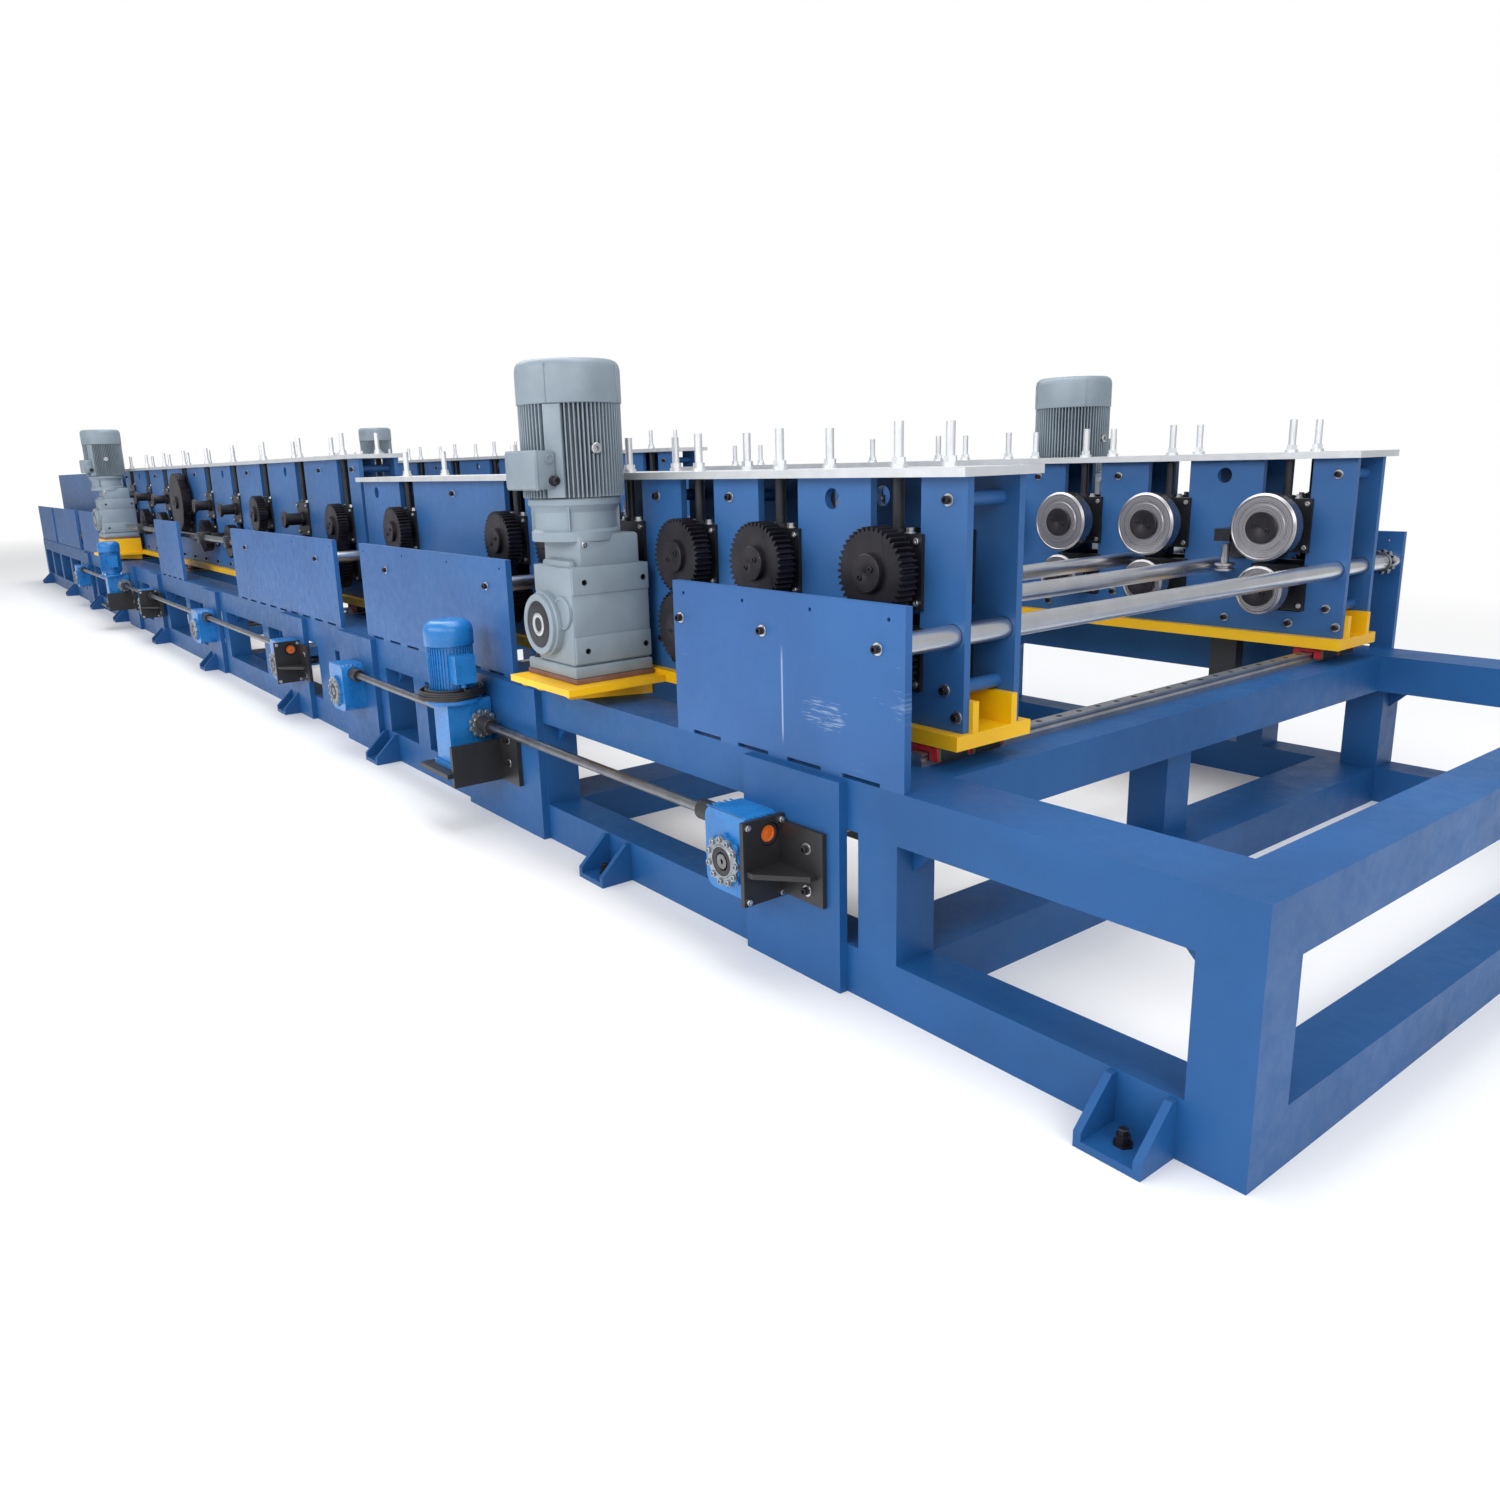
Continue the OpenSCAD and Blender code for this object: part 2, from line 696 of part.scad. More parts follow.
// Gear with its end cap on a shaft's outer end, tooth turned by a share of the pitch
module shaft_gear(n, share) {
    y1 = raft_y - gear_off;
    y0 = y1 - gear_face;
    cap_h = 18;
    translate([0, y1, 0]) rotate([90, 0, 0])
        linear_extrude(gear_face) rotate(share * 360 / n) gear_outline(n);
    difference() {
        cross_rod(gear_cap_r, y0 - cap_h, y0 + 1);
        for (side = [-1, 1])
            rotate([0, 30, 0]) translate([side * 28, 0, 0]) cross_rod(9, y0 - cap_h - 1, y0 - cap_h + 9);
    }
    cross_rod(46, y1 - 1, raft_y - cheek_t - 2);
}

// Plain hub with two flanges, where a shaft has no gear
module shaft_hub() {
    y1 = raft_y - cheek_t - 2;
    cross_rod(48, y1 - 18, y1);
    cross_rod(40, y1 - 110, y1 - 17);
    cross_rod(56, y1 - 132, y1 - 109);
}

// Bright roll with a chamfered face, a lower step behind it and its dark end cap
module roll(r) {
    step = 18;
    bevel = 8;
    front = roll_w * 0.62;
    y1 = inner_y + roll_off + roll_w;
    translate([0, y1, 0]) rotate([90, 0, 0]) rotate_extrude()
        polygon([[0, 0], [r - bevel, 0], [r, bevel], [r, front], [r - step, front + 4],
            [r - step, roll_w - 4], [r - step - 4, roll_w], [0, roll_w]]);
    difference() {
        cross_rod(64, y1 - 1, y1 + 12);
        for (side = [-1, 1])
            rotate([0, 20, 0]) translate([side * 30, 0, 0]) cross_rod(9, y1 + 4, y1 + 13);
    }
    cross_rod(52, inner_y + cheek_t + 2, y1 - roll_w + 1);
    cross_rod(72, y1 - roll_w - 26, y1 - roll_w - 18);
}

// Roll shaft at distance s and height z with its roll; kind is its gear's teeth, 0 a hub, -1 neither
module roll_shaft(s, z, r, kind, share) {
    outer = kind < 0 ? raft_y - cheek_t - 4 : raft_y - gear_off - gear_face;
    at(s, 0, z) {
        cross_rod(shaft_r, outer, inner_y + roll_off + 2);
        roll(r);
        if (kind == 0) shaft_hub();
        if (kind > 0) shaft_gear(kind, share);
    }
}

// Block on the inner plate that holds the small side roll
module side_roll_holder(d) {
    half = 34;
    arm_z = shaft_z + mesh - 62;
    slab([d - half, d + half], [inner_y, inner_y + 148], [arm_z, arm_z + 50]);
    slab([d - half, d + half], [inner_y, inner_y + 22], [arm_z - 78, arm_z + 50]);
}

// The side roll itself with its pin
module side_roll(d) {
    arm_z = shaft_z + mesh - 62;
    at(d, inner_y + 108, side_roll_z) {
        cylinder(r = 16, h = arm_z - side_roll_z);
        cylinder(r = 40, h = 34);
    }
}

// Long shaft outside the second section's plates with its splined end and bearers
module line_shaft() {
    at(0, line_y, bar_z) {
        difference() {
            long_rod(line_shaft_r, line_span[0], line_span[1]);
            for (i = [0 : 7])
                rotate([i * 45, 0, 0])
                    translate([-line_span[0] - 420, -4, line_shaft_r - 5]) cube([400, 8, 10]);
        }
    }
    for (d = line_holders)
        difference() {
            slab([d - 40, d + 40], [line_y - 50, raft_y], [bar_z - 45, bar_z + 45]);
            at(0, line_y, bar_z) long_rod(line_shaft_r + 0.5, d - 50, d + 50);
        }
}

// Shafts of a raft that are fixed here: stands from the first index on, gears by kind; the driven
// stand's lower shaft runs on through the gearmotor
module raft_train(stands, first, kinds, driven) {
    for (i = [first : len(stands) - 1]) {
        s = stands[i];
        roll_shaft(s[0], s[1], low_roll_r, i == driven || kinds[i] > gear_n ? -1 : gear_n, 0.5);
        roll_shaft(s[0], s[1] + mesh, top_roll_r, kinds[i], 0);
    }
    at(stands[driven][0], 0, stands[driven][1])
        cross_rod(shaft_r, drive_front + 8, raft_y - cheek_t - 3);
}

// Gearmotor on its shim: case with a hollow output at distance d and height z, adaptor, upright
// motor with its fan cover, and terminal box
module gearmotor(d, z, foot_z) {
    foot_h = 43;
    case_z = foot_z + shim_t + foot_h;
    case_d = [d - 185, d + 95];
    side_up = 217;
    top_up = 329;
    neck_up = 342;
    flange_up = 437;
    motor_up = 460;
    fan_up = 792;
    crown_up = motor_top - shaft_z;
    crown = 30;
    panel = 6;
    cover_r = 62;
    neck_r = 152;
    ring_r = 166;
    fan_r = motor_r + 4;
    box_d = [d - 152, d + 80];
    box_up = [493, 632];
    axis_d = d + drive_axis;
    slab([d - 200, d + 180], [drive_case - 6, drive_back - 4], [foot_z, foot_z + shim_t]);
    difference() {
        union() {
            slab([d - 195, d + 175], [drive_case - 4, drive_back - 6], [foot_z + shim_t, case_z + 1]);
            translate([-case_d[1], 0, z]) rotate([90, 0, 90]) linear_extrude(case_d[1] - case_d[0])
                polygon([[drive_case, case_z - z], [drive_back, case_z - z], [drive_back, side_up],
                    [drive_back - 35, side_up + 32], [drive_back - 45, top_up], [drive_case + 60, top_up],
                    [drive_case + 48, side_up + 32], [drive_case, side_up]]);
            for (side = [case_d[0] - panel, case_d[1] - 1])
                for (up = [-138, side_up - 101])
                    slab([side, side + panel + 1], [drive_case + 4, drive_back - 4], [z + up, z + up + 100]);
            at(d, 0, z) cross_rod(output_r + 8, drive_case - 30, drive_case + 1);
            at(d, 0, z) cross_rod(output_r, drive_front, drive_case - 29);
            at(case_d[0] + cover_r + 3, 0, z + 48) cross_rod(cover_r, drive_case - 12, drive_case + 1);
            at(axis_d, drive_mid, z + top_up - 22) cylinder(r = ring_r, h = neck_up - top_up + 22);
        }
        at(d, 0, z) cross_rod(shaft_r + shaft_gap, drive_front - 1, drive_back + 1);
    }
    at(axis_d, drive_mid, z + neck_up - 1) cylinder(r = neck_r, h = flange_up - neck_up + 1);
    at(axis_d, drive_mid, z + flange_up - 26) cylinder(r1 = neck_r, r2 = ring_r, h = 26);
    at(axis_d, drive_mid, z + flange_up - 1) cylinder(r = ring_r + 6, h = motor_up - flange_up + 1);
    at(axis_d, drive_mid, z + motor_up - 1) cylinder(r = motor_r, h = fan_up - motor_up + 1);
    at(axis_d, drive_mid, z + fan_up - 1) cylinder(r = fan_r, h = crown_up - fan_up - crown + 1);
    at(axis_d, drive_mid, z + crown_up - crown - 1) cylinder(r1 = fan_r, r2 = motor_r - crown, h = crown + 1);
    slab(box_d, [-box_reach, drive_mid - motor_r + 60], [z + box_up[0], z + box_up[1]]);
}

module a_plates() {
    holes = [[1578, a_top - 63], [5457, a_top - 63]];
    color("#33588f") raft_plates(a_start, a_end, a_top, a_stands, a_bars, a_ties, holes);
}

module b_plates() {
    holes = [[7200, b_top - 63], [8950, b_top - 63], [12500, b_top - 63]];
    color("#33588f") raft_plates(b_start, b_end, b_top, b_stands, b_bars, b_ties, holes);
}

module c_plates() {
    color("#33588f") raft_plates(c_start, c_end, b_top, [], [], c_ties, []);
}

module a_carriage() {
    color("#f5b800") raft_carriage(a_start, a_end, a_screws, a_stands[a_drive][0], 0);
}

module b_carriage() {
    color("#f5b800") raft_carriage(b_start, b_end, b_screws, b_stands[b_drive][0],
        b_stands[b_drive][1] - shaft_z);
}

module c_carriage() {
    color("#f5b800") raft_carriage(c_start, c_end, c_screws, 0, 0);
    color("#222326") carriage_blocks(c_rails);
}

module a_cap() {
    color("#d8dadb") raft_top(a_start, a_end, a_top, a_stands);
}

module b_cap() {
    color("#d8dadb") raft_top(b_start, b_end, b_top, b_stands);
}

module a_blocks() {
    color("#2a2b2e") raft_blocks(a_top, a_stands, a_rails);
    color("#2a2b2e") side_roll_holder(side_roll_d);
}

module b_blocks() {
    color("#2a2b2e") raft_blocks(b_top, b_stands, b_rails);
}

module a_drive() {
    color("#7f8a8c") gearmotor(a_stands[a_drive][0], shaft_z, carriage_z + bracket_t);
}

module b_drive() {
    color("#7f8a8c") gearmotor(b_stands[b_drive][0], b_stands[b_drive][1],
        carriage_z + bracket_t + b_stands[b_drive][1] - shaft_z);
}

module a_train() {
    color("#6a6c70") raft_train(a_stands, moving_stands, a_kinds, a_drive);
    color("#a9abae") side_roll(side_roll_d);
}

module b_train() {
    color("#6a6c70") raft_train(b_stands, 0, b_kinds, b_drive);
    color("#a9abae") line_shaft();
}

module lower_shaft(i) {
    color("#a9abae") roll_shaft(a_stands[i][0], shaft_z, low_roll_r, gear_n, 0.5);
}

module upper_shaft(i) {
    color("#a9abae") roll_shaft(a_stands[i][0], shaft_z + mesh, top_roll_r, gear_n, 0);
}

base_sides_1();
base_cross_1();
base_sides_2();
base_cross_2();
base_sides_3();
base_cross_3();
linear_rails();
guard_plates();
guide_bars();
adjust_reducers();
adjust_brackets();
adjust_motors();
motor_cable();
lead_screws();
adjust_shafts();
placed() a_plates();  // a_near_plates
placed() a_carriage();  // a_near_carriage
placed() a_cap();  // a_near_top
placed() a_blocks();  // a_near_blocks
placed() a_drive();  // a_near_drive
placed() a_train();  // a_near_train
placed() far() a_plates();  // a_far_plates
placed() far() a_carriage();  // a_far_carriage
placed() far() a_cap();  // a_far_top
placed() far() a_blocks();  // a_far_blocks
placed() far() a_drive();  // a_far_drive
placed() far() a_train();  // a_far_train
placed() b_plates();  // b_near_plates
placed() b_carriage();  // b_near_carriage
placed() b_cap();  // b_near_top
placed() b_blocks();  // b_near_blocks
placed() b_drive();  // b_near_drive
placed() b_train();  // b_near_train
placed() far() b_plates();  // b_far_plates
placed() far() b_carriage();  // b_far_carriage
placed() far() b_cap();  // b_far_top
placed() far() b_blocks();  // b_far_blocks
placed() far() b_drive();  // b_far_drive
placed() far() b_train();  // b_far_train
placed() c_plates();  // c_near_plates
placed() c_carriage();  // c_near_carriage
placed() far() c_plates();  // c_far_plates
placed() far() c_carriage();  // c_far_carriage
placed() lower_shaft(0);  // near_lower_1
placed() lower_shaft(1);  // near_lower_2
placed() lower_shaft(2);  // near_lower_3
placed() upper_shaft(0);  // near_upper_1
placed() upper_shaft(1);  // near_upper_2
placed() upper_shaft(2);  // near_upper_3
placed() far() lower_shaft(0);  // far_lower_1
placed() far() lower_shaft(1);  // far_lower_2
placed() far() lower_shaft(2);  // far_lower_3
placed() far() upper_shaft(0);  // far_upper_1
placed() far() upper_shaft(1);  // far_upper_2
placed() far() upper_shaft(2);  // far_upper_3
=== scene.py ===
# %% [markdown]
# # A roll forming machine, finished in Blender
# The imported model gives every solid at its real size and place. This file gives the machine its
# enamel, its machined steel and the pieces too small or too round for plain solids: turned rolls,
# cut gears, cooling fins, bolts, rail plugs and the motor's lead. One metre in Blender is one
# metre of machine.

# %% Load the machine
import bmesh
import bpy
import json
import math
from mathutils import Matrix, Vector

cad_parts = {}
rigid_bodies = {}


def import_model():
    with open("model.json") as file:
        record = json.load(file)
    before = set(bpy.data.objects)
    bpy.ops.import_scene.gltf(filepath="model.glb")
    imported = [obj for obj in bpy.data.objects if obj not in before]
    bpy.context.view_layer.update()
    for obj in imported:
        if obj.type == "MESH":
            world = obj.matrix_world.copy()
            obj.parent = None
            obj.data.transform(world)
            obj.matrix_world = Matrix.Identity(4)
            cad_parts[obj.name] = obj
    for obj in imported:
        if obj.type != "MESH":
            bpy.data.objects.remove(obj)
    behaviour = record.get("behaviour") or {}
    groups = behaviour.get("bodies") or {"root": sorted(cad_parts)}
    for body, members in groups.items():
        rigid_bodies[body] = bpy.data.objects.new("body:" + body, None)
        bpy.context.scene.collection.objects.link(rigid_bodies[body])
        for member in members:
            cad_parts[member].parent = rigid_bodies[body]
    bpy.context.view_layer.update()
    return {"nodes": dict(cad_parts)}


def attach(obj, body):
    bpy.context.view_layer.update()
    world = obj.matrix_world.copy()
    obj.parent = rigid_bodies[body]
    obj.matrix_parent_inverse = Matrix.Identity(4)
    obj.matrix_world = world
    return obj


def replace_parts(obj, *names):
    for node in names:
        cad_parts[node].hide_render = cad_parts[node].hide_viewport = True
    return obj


for leftover in list(bpy.data.objects):
    bpy.data.objects.remove(leftover, do_unlink=True)
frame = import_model()

# %% [markdown]
# Every size here is in the machine's own millimetres: d runs along it from the entry end, y goes
# inwards from its near long side, and z is the height above the floor. One function turns such a
# place into metres of the model, and the far side is the near side turned round the middle.

# %% Places in the machine's millimetres
WIDTH = 3096


def place(d, y, z):
    return Vector(((9650 - d) / 1000, (y - 1494.5) / 1000, z / 1000))


def mm(size):
    return size / 1000


def put(d, y, z, side="near", turn=None):
    """Matrix that carries a shape made at the origin, facing the near side, to its place."""
    if side == "far":
        y = WIDTH - y
    m = Matrix.Translation(place(d, y, z))
    if side == "far":
        m = m @ Matrix.Rotation(math.pi, 4, "Z")
    return m @ turn if turn else m


print("entry end is at x =", round(place(0, 0, 0).x, 3), "m")

# %% [markdown]
# The camera stands at head height near the entry end, looking down the length of the machine. Its
# place, lens and tilt were worked out from the edges of the base, whose sizes are known.

# %% Camera
camera_data = bpy.data.cameras.new("camera")
camera = bpy.data.objects.new("camera", camera_data)
bpy.context.scene.collection.objects.link(camera)
bpy.context.scene.camera = camera
right = Vector((0.60700549, 0.79417110, -0.02892422))
down = Vector((0.16864287, -0.16429490, -0.97188825))
forward = Vector((-0.77659766, 0.58506364, -0.23365920))
camera.matrix_world = Matrix.LocRotScale(
    Vector((10.618, -3.5405, 1.525)), Matrix((right, -down, -forward)).transposed().to_quaternion(), None)
camera_data.lens = 26.467
camera_data.sensor_width = 36
camera_data.shift_x = 0.0143
camera_data.shift_y = -0.0163
camera_data.clip_end = 200
print("camera height:", round(camera.location.z, 3), "m")

# %% [markdown]
# The lead of the small adjusting motor isn't wired up yet, so it hangs in a loose winding round the
# motor's neck. It is one curve: down out of the gland of the terminal box, then three layers of
# turns on the flange, the outer ones slack on the free side.

# %% Motor lead
LEAD = 12
MOTOR_D, MOTOR_Y, FLANGE_Z = 3500, -170, 562
SPREAD = [10, 36, 20, 48, 30]  # how far the outer turns sag away from the motor on their free side


def lead_points():
    """Points of the lead, in metres, from the gland round the neck."""
    points = []
    centre = (MOTOR_D, MOTOR_Y)
    gland = 118
    for z in (642, 634, 626):
        points.append(place(centre[0] - gland, centre[1], z))
    layers = [(128, 0), (115.5, 1), (103, 2)]
    turns = 4
    steps = 20
    angle = 0.0
    lift = [FLANGE_Z + 6.2 + 12.6 * i for i in range(turns)]
    for radius, layer in layers:
        rows = lift[::-1] if layer % 2 == 0 else lift
        for t in range(turns):
            for s in range(steps):
                share = (t * steps + s) / (turns * steps)
                z = rows[0] + (rows[-1] - rows[0]) * share
                a = angle + 2 * math.pi * (t + s / steps)
                loose = 0 if layer else SPREAD[t] + (SPREAD[t + 1] - SPREAD[t]) * s / steps
                swell = loose * (0.5 - 0.5 * math.cos(a)) ** 2
                r = radius + swell
                points.append(place(centre[0] - r * math.cos(a), centre[1] + r * math.sin(a), z - 0.25 * swell))
    return points


path = lead_points()
# %% Lead length
curve = bpy.data.curves.new("motor_lead", "CURVE")
curve.dimensions = "3D"
curve.bevel_depth = 1  # the thickness is in the points' radii, which Blender also adds to the curve's box
curve.bevel_resolution = 3
spline = curve.splines.new("POLY")
spline.points.add(len(path) - 1)
for point, where in zip(spline.points, path):
    point.co = (*where, 1)
    point.radius = mm(LEAD) / 2
spline.use_smooth = True
motor_lead = bpy.data.objects.new("motor_lead", curve)
bpy.context.scene.collection.objects.link(motor_lead)
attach(motor_lead, "base")
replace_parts(motor_lead, "motor_cable")

# %% [markdown]
# Materials are node trees. One small function adds a node with its settings and links, and one
# turns the hex colours that a maker would read off a paint chart into the linear values that the
# shader wants.

# %% Material helpers


def colour(code):
    """sRGB hex to the linear colour that a shader takes."""
    parts = [int(code[i:i + 2], 16) / 255 for i in (1, 3, 5)]
    return [c / 12.92 if c <= 0.04045 else ((c + 0.055) / 1.055) ** 2.4 for c in parts] + [1]


def add(tree, kind, settings=(), **links):
    """Adds a node, sets its properties and inputs, and links sockets to its inputs."""
    node = tree.nodes.new(kind)
    for name, value in dict(settings).items():
        if name in node.inputs:
            node.inputs[name].default_value = value
        else:
            setattr(node, name, value)
    for name, socket in links.items():
        wanted = int(name[2:]) if name.startswith("i_") else name.replace("_", " ")
        tree.links.new(socket, node.inputs[wanted])
    return node


def material(name):
    """A new material with its shader, and the object coordinates that its patterns read."""
    made = bpy.data.materials.new(name)
    made.use_nodes = True
    tree = made.node_tree
    shader = tree.nodes["Principled BSDF"]
    where = tree.nodes.new("ShaderNodeTexCoord").outputs["Object"]
    return made, tree, shader, where


def per_metre(size_mm):
    """Scale of a noise whose features are about size_mm apart."""
    return 1000 / size_mm


print("material helpers ready")

# %% [markdown]
# Blue workshop enamel: an alkyd paint sprayed on welded and on flame-cut steel. It is satin, with a
# faint orange peel, slow changes of tone where coats overlap, and dust that dulls it.

# %% Enamels


def enamel(name, main, shade, rough, peel=3.0, patch=450, sheen=0.5):
    made, tree, shader, where = material(name)
    shader.inputs["Specular IOR Level"].default_value = sheen
    clouds = add(tree, "ShaderNodeTexNoise", {"Scale": per_metre(patch), "Detail": 5}, Vector=where)
    tone = add(tree, "ShaderNodeValToRGB", {}, Fac=clouds.outputs["Fac"])
    tone.color_ramp.elements[0].color = colour(shade)
    tone.color_ramp.elements[0].position = 0.3
    tone.color_ramp.elements[1].color = colour(main)
    tone.color_ramp.elements[1].position = 0.62
    dust = add(tree, "ShaderNodeTexNoise", {"Scale": per_metre(60), "Detail": 8, "Roughness": 0.7}, Vector=where)
    gloss = add(tree, "ShaderNodeMapRange", {"From Min": 0.3, "From Max": 0.7, "To Min": rough - 0.07,
                                             "To Max": rough + 0.12}, Value=dust.outputs["Fac"])
    grain = add(tree, "ShaderNodeTexNoise", {"Scale": per_metre(peel), "Detail": 2}, Vector=where)
    bump = add(tree, "ShaderNodeBump", {"Strength": 0.06, "Distance": 0.0006}, Height=grain.outputs["Fac"])
    tree.links.new(tone.outputs["Color"], shader.inputs["Base Color"])
    tree.links.new(gloss.outputs["Result"], shader.inputs["Roughness"])
    tree.links.new(bump.outputs["Normal"], shader.inputs["Normal"])
    return made


blue = enamel("blue_alkyd_enamel", "#1d548c", "#184a7e", 0.42, sheen=0.3)
# The raft plates have the same blue paint as the base. Their copy is painted lighter: painted light that stands in for
# more light on the raft plates.
raft_blue_painted_lighter = enamel("blue_plate_enamel", "#2e6099", "#28568a", 0.4, sheen=0.45)
yellow = enamel("yellow_alkyd_enamel", "#f2bd05", "#e6ad02", 0.38)
tree = yellow.node_tree
where = tree.nodes["Texture Coordinate"].outputs["Object"]
shader = tree.nodes["Principled BSDF"]
plain = shader.inputs["Base Color"].links[0].from_socket
split = add(tree, "ShaderNodeSeparateXYZ", {}, Vector=where)
across = add(tree, "ShaderNodeMath", {"operation": "ABSOLUTE"}, i_0=split.outputs["Y"])
under = add(tree, "ShaderNodeMath", {"operation": "LESS_THAN"}, i_0=split.outputs["Z"])
under.inputs[1].default_value = 0.7115
middle = add(tree, "ShaderNodeMath", {"operation": "LESS_THAN"}, i_0=across.outputs["Value"])
middle.inputs[1].default_value = 1.25
nut_part = add(tree, "ShaderNodeMath", {"operation": "MULTIPLY"}, i_0=under.outputs["Value"], i_1=middle.outputs["Value"])
two_tone = add(tree, "ShaderNodeMix", {"data_type": "RGBA"}, i_0=nut_part.outputs["Value"], i_6=plain)
two_tone.inputs[7].default_value = colour("#26272b")
tree.links.new(two_tone.outputs[2], shader.inputs["Base Color"])
gear_grey = enamel("grey_gearmotor_enamel", "#84919b", "#75828c", 0.4, peel=4, patch=200)
reducer_blue = enamel("blue_reducer_lacquer", "#1f74b8", "#1765a5", 0.27, peel=2, patch=120)
bracket_black = enamel("black_bracket_enamel", "#232224", "#1a191b", 0.42, patch=200)
seal_red = enamel("red_seal_plastic", "#b3202a", "#a01b24", 0.4, patch=60)
cap_green = enamel("green_cap_plastic", "#2e8a4a", "#267a40", 0.4, patch=60)
cap_orange = enamel("orange_cap_plastic", "#d2641e", "#c25816", 0.4, patch=60)
primer = enamel("red_oxide_primer", "#7d5a50", "#6a4a42", 0.6, patch=90)
print("enamels made")

# %% [markdown]
# The guard plates have been slid about before they were put up, so their enamel carries pale
# scuffs: short level ones from stacking, and a long upright one on the plate next to the entry.

# %% Scuffed enamel
scuffed = enamel("scuffed_blue_enamel", "#285b95", "#225188", 0.42, sheen=0.38)
tree = scuffed.node_tree
shader = tree.nodes["Principled BSDF"]
where = tree.nodes["Texture Coordinate"].outputs["Object"]
clean_tone = shader.inputs["Base Color"].links[0].from_socket
level = add(tree, "ShaderNodeMapping", {"Scale": (22, 1, 230)}, Vector=where)
strokes = add(tree, "ShaderNodeTexNoise", {"Scale": 1, "Detail": 2}, Vector=level.outputs["Vector"])
zones = add(tree, "ShaderNodeTexNoise", {"Scale": per_metre(330), "Detail": 1}, Vector=where)
entry_zone = add(tree, "ShaderNodeMapping", {"Location": (-8.35 / 0.22, 0, -0.82 / 0.12), "Scale": (1 / 0.22, 0, 1 / 0.12)},
                 Vector=where)
from_zone = add(tree, "ShaderNodeVectorMath", {"operation": "LENGTH"}, i_0=entry_zone.outputs["Vector"])
rubbed = add(tree, "ShaderNodeMapRange", {"From Min": 0.3, "From Max": 1.0, "To Min": 0.86, "To Max": 0},
             Value=from_zone.outputs["Value"])
calm = add(tree, "ShaderNodeMath", {"operation": "MULTIPLY"}, i_0=zones.outputs["Fac"])
calm.inputs[1].default_value = 0.88
zone = add(tree, "ShaderNodeMath", {"operation": "MAXIMUM"}, i_0=calm.outputs["Value"], i_1=rubbed.outputs["Result"])
both = add(tree, "ShaderNodeMath", {"operation": "MULTIPLY"}, i_0=strokes.outputs["Fac"], i_1=zone.outputs["Value"])
scuffs = add(tree, "ShaderNodeMapRange", {"From Min": 0.42, "From Max": 0.56, "To Min": 0, "To Max": 0.34},
             Value=both.outputs["Value"])
split = add(tree, "ShaderNodeSeparateXYZ", {}, Vector=where)
LONG_SCRATCH_X = (9650 - 1480) / 1000
off_line = add(tree, "ShaderNodeMath", {"operation": "SUBTRACT"}, i_0=split.outputs["X"])
off_line.inputs[1].default_value = LONG_SCRATCH_X
distance = add(tree, "ShaderNodeMath", {"operation": "ABSOLUTE"}, i_0=off_line.outputs["Value"])
line = add(tree, "ShaderNodeMapRange", {"From Min": 0.002, "From Max": 0.005, "To Min": 1, "To Max": 0},
           Value=distance.outputs["Value"])
height = add(tree, "ShaderNodeMapRange", {"From Min": 0.7, "From Max": 0.74, "To Min": 0, "To Max": 0.45},
             Value=split.outputs["Z"])
top = add(tree, "ShaderNodeMapRange", {"From Min": 0.95, "From Max": 1.0, "To Min": 1, "To Max": 0},
          Value=split.outputs["Z"])
upright = add(tree, "ShaderNodeMath", {"operation": "MULTIPLY"}, i_0=line.outputs["Result"],
              i_1=height.outputs["Result"])
upright = add(tree, "ShaderNodeMath", {"operation": "MULTIPLY"}, i_0=upright.outputs["Value"],
              i_1=top.outputs["Result"])
marks = add(tree, "ShaderNodeMath", {"operation": "MAXIMUM"}, i_0=scuffs.outputs["Result"],
            i_1=upright.outputs["Value"])
worn = add(tree, "ShaderNodeMix", {"data_type": "RGBA"}, i_0=marks.outputs["Value"], i_6=clean_tone)
worn.inputs[7].default_value = colour("#b9c6d6")
tree.links.new(worn.outputs[2], shader.inputs["Base Color"])
print("scuffed enamel made")

# %% [markdown]
# Steels: ground rails, hard chrome bars, milled top plates with bright zinc studs, turned rolls
# and gears blackened in hot oxide salts and then oiled. A metal's look is mostly its roughness, so
# each has fine streaks the way its tool went, drawn coarse enough to show.

# %% Steels


def steel(name, light, dark, rough, stretch, streak=1.5, spread=0.08, metallic=1.0, relief=0.12):
    made, tree, shader, where = material(name)
    shader.inputs["Metallic"].default_value = metallic
    laid = add(tree, "ShaderNodeMapping", {"Scale": stretch}, Vector=where)
    streaks = add(tree, "ShaderNodeTexNoise", {"Scale": per_metre(streak), "Detail": 3}, Vector=laid.outputs["Vector"])
    patches = add(tree, "ShaderNodeTexNoise", {"Scale": per_metre(90), "Detail": 4}, Vector=where)
    tone = add(tree, "ShaderNodeValToRGB", {}, Fac=patches.outputs["Fac"])
    tone.color_ramp.elements[0].color = colour(dark)
    tone.color_ramp.elements[0].position = 0.3
    tone.color_ramp.elements[1].color = colour(light)
    tone.color_ramp.elements[1].position = 0.7
    gloss = add(tree, "ShaderNodeMapRange", {"From Min": 0.3, "From Max": 0.7, "To Min": rough - spread,
                                             "To Max": rough + spread}, Value=streaks.outputs["Fac"])
    bump = add(tree, "ShaderNodeBump", {"Strength": relief, "Distance": 0.0002}, Height=streaks.outputs["Fac"])
    tree.links.new(tone.outputs["Color"], shader.inputs["Base Color"])
    tree.links.new(gloss.outputs["Result"], shader.inputs["Roughness"])
    tree.links.new(bump.outputs["Normal"], shader.inputs["Normal"])
    return made


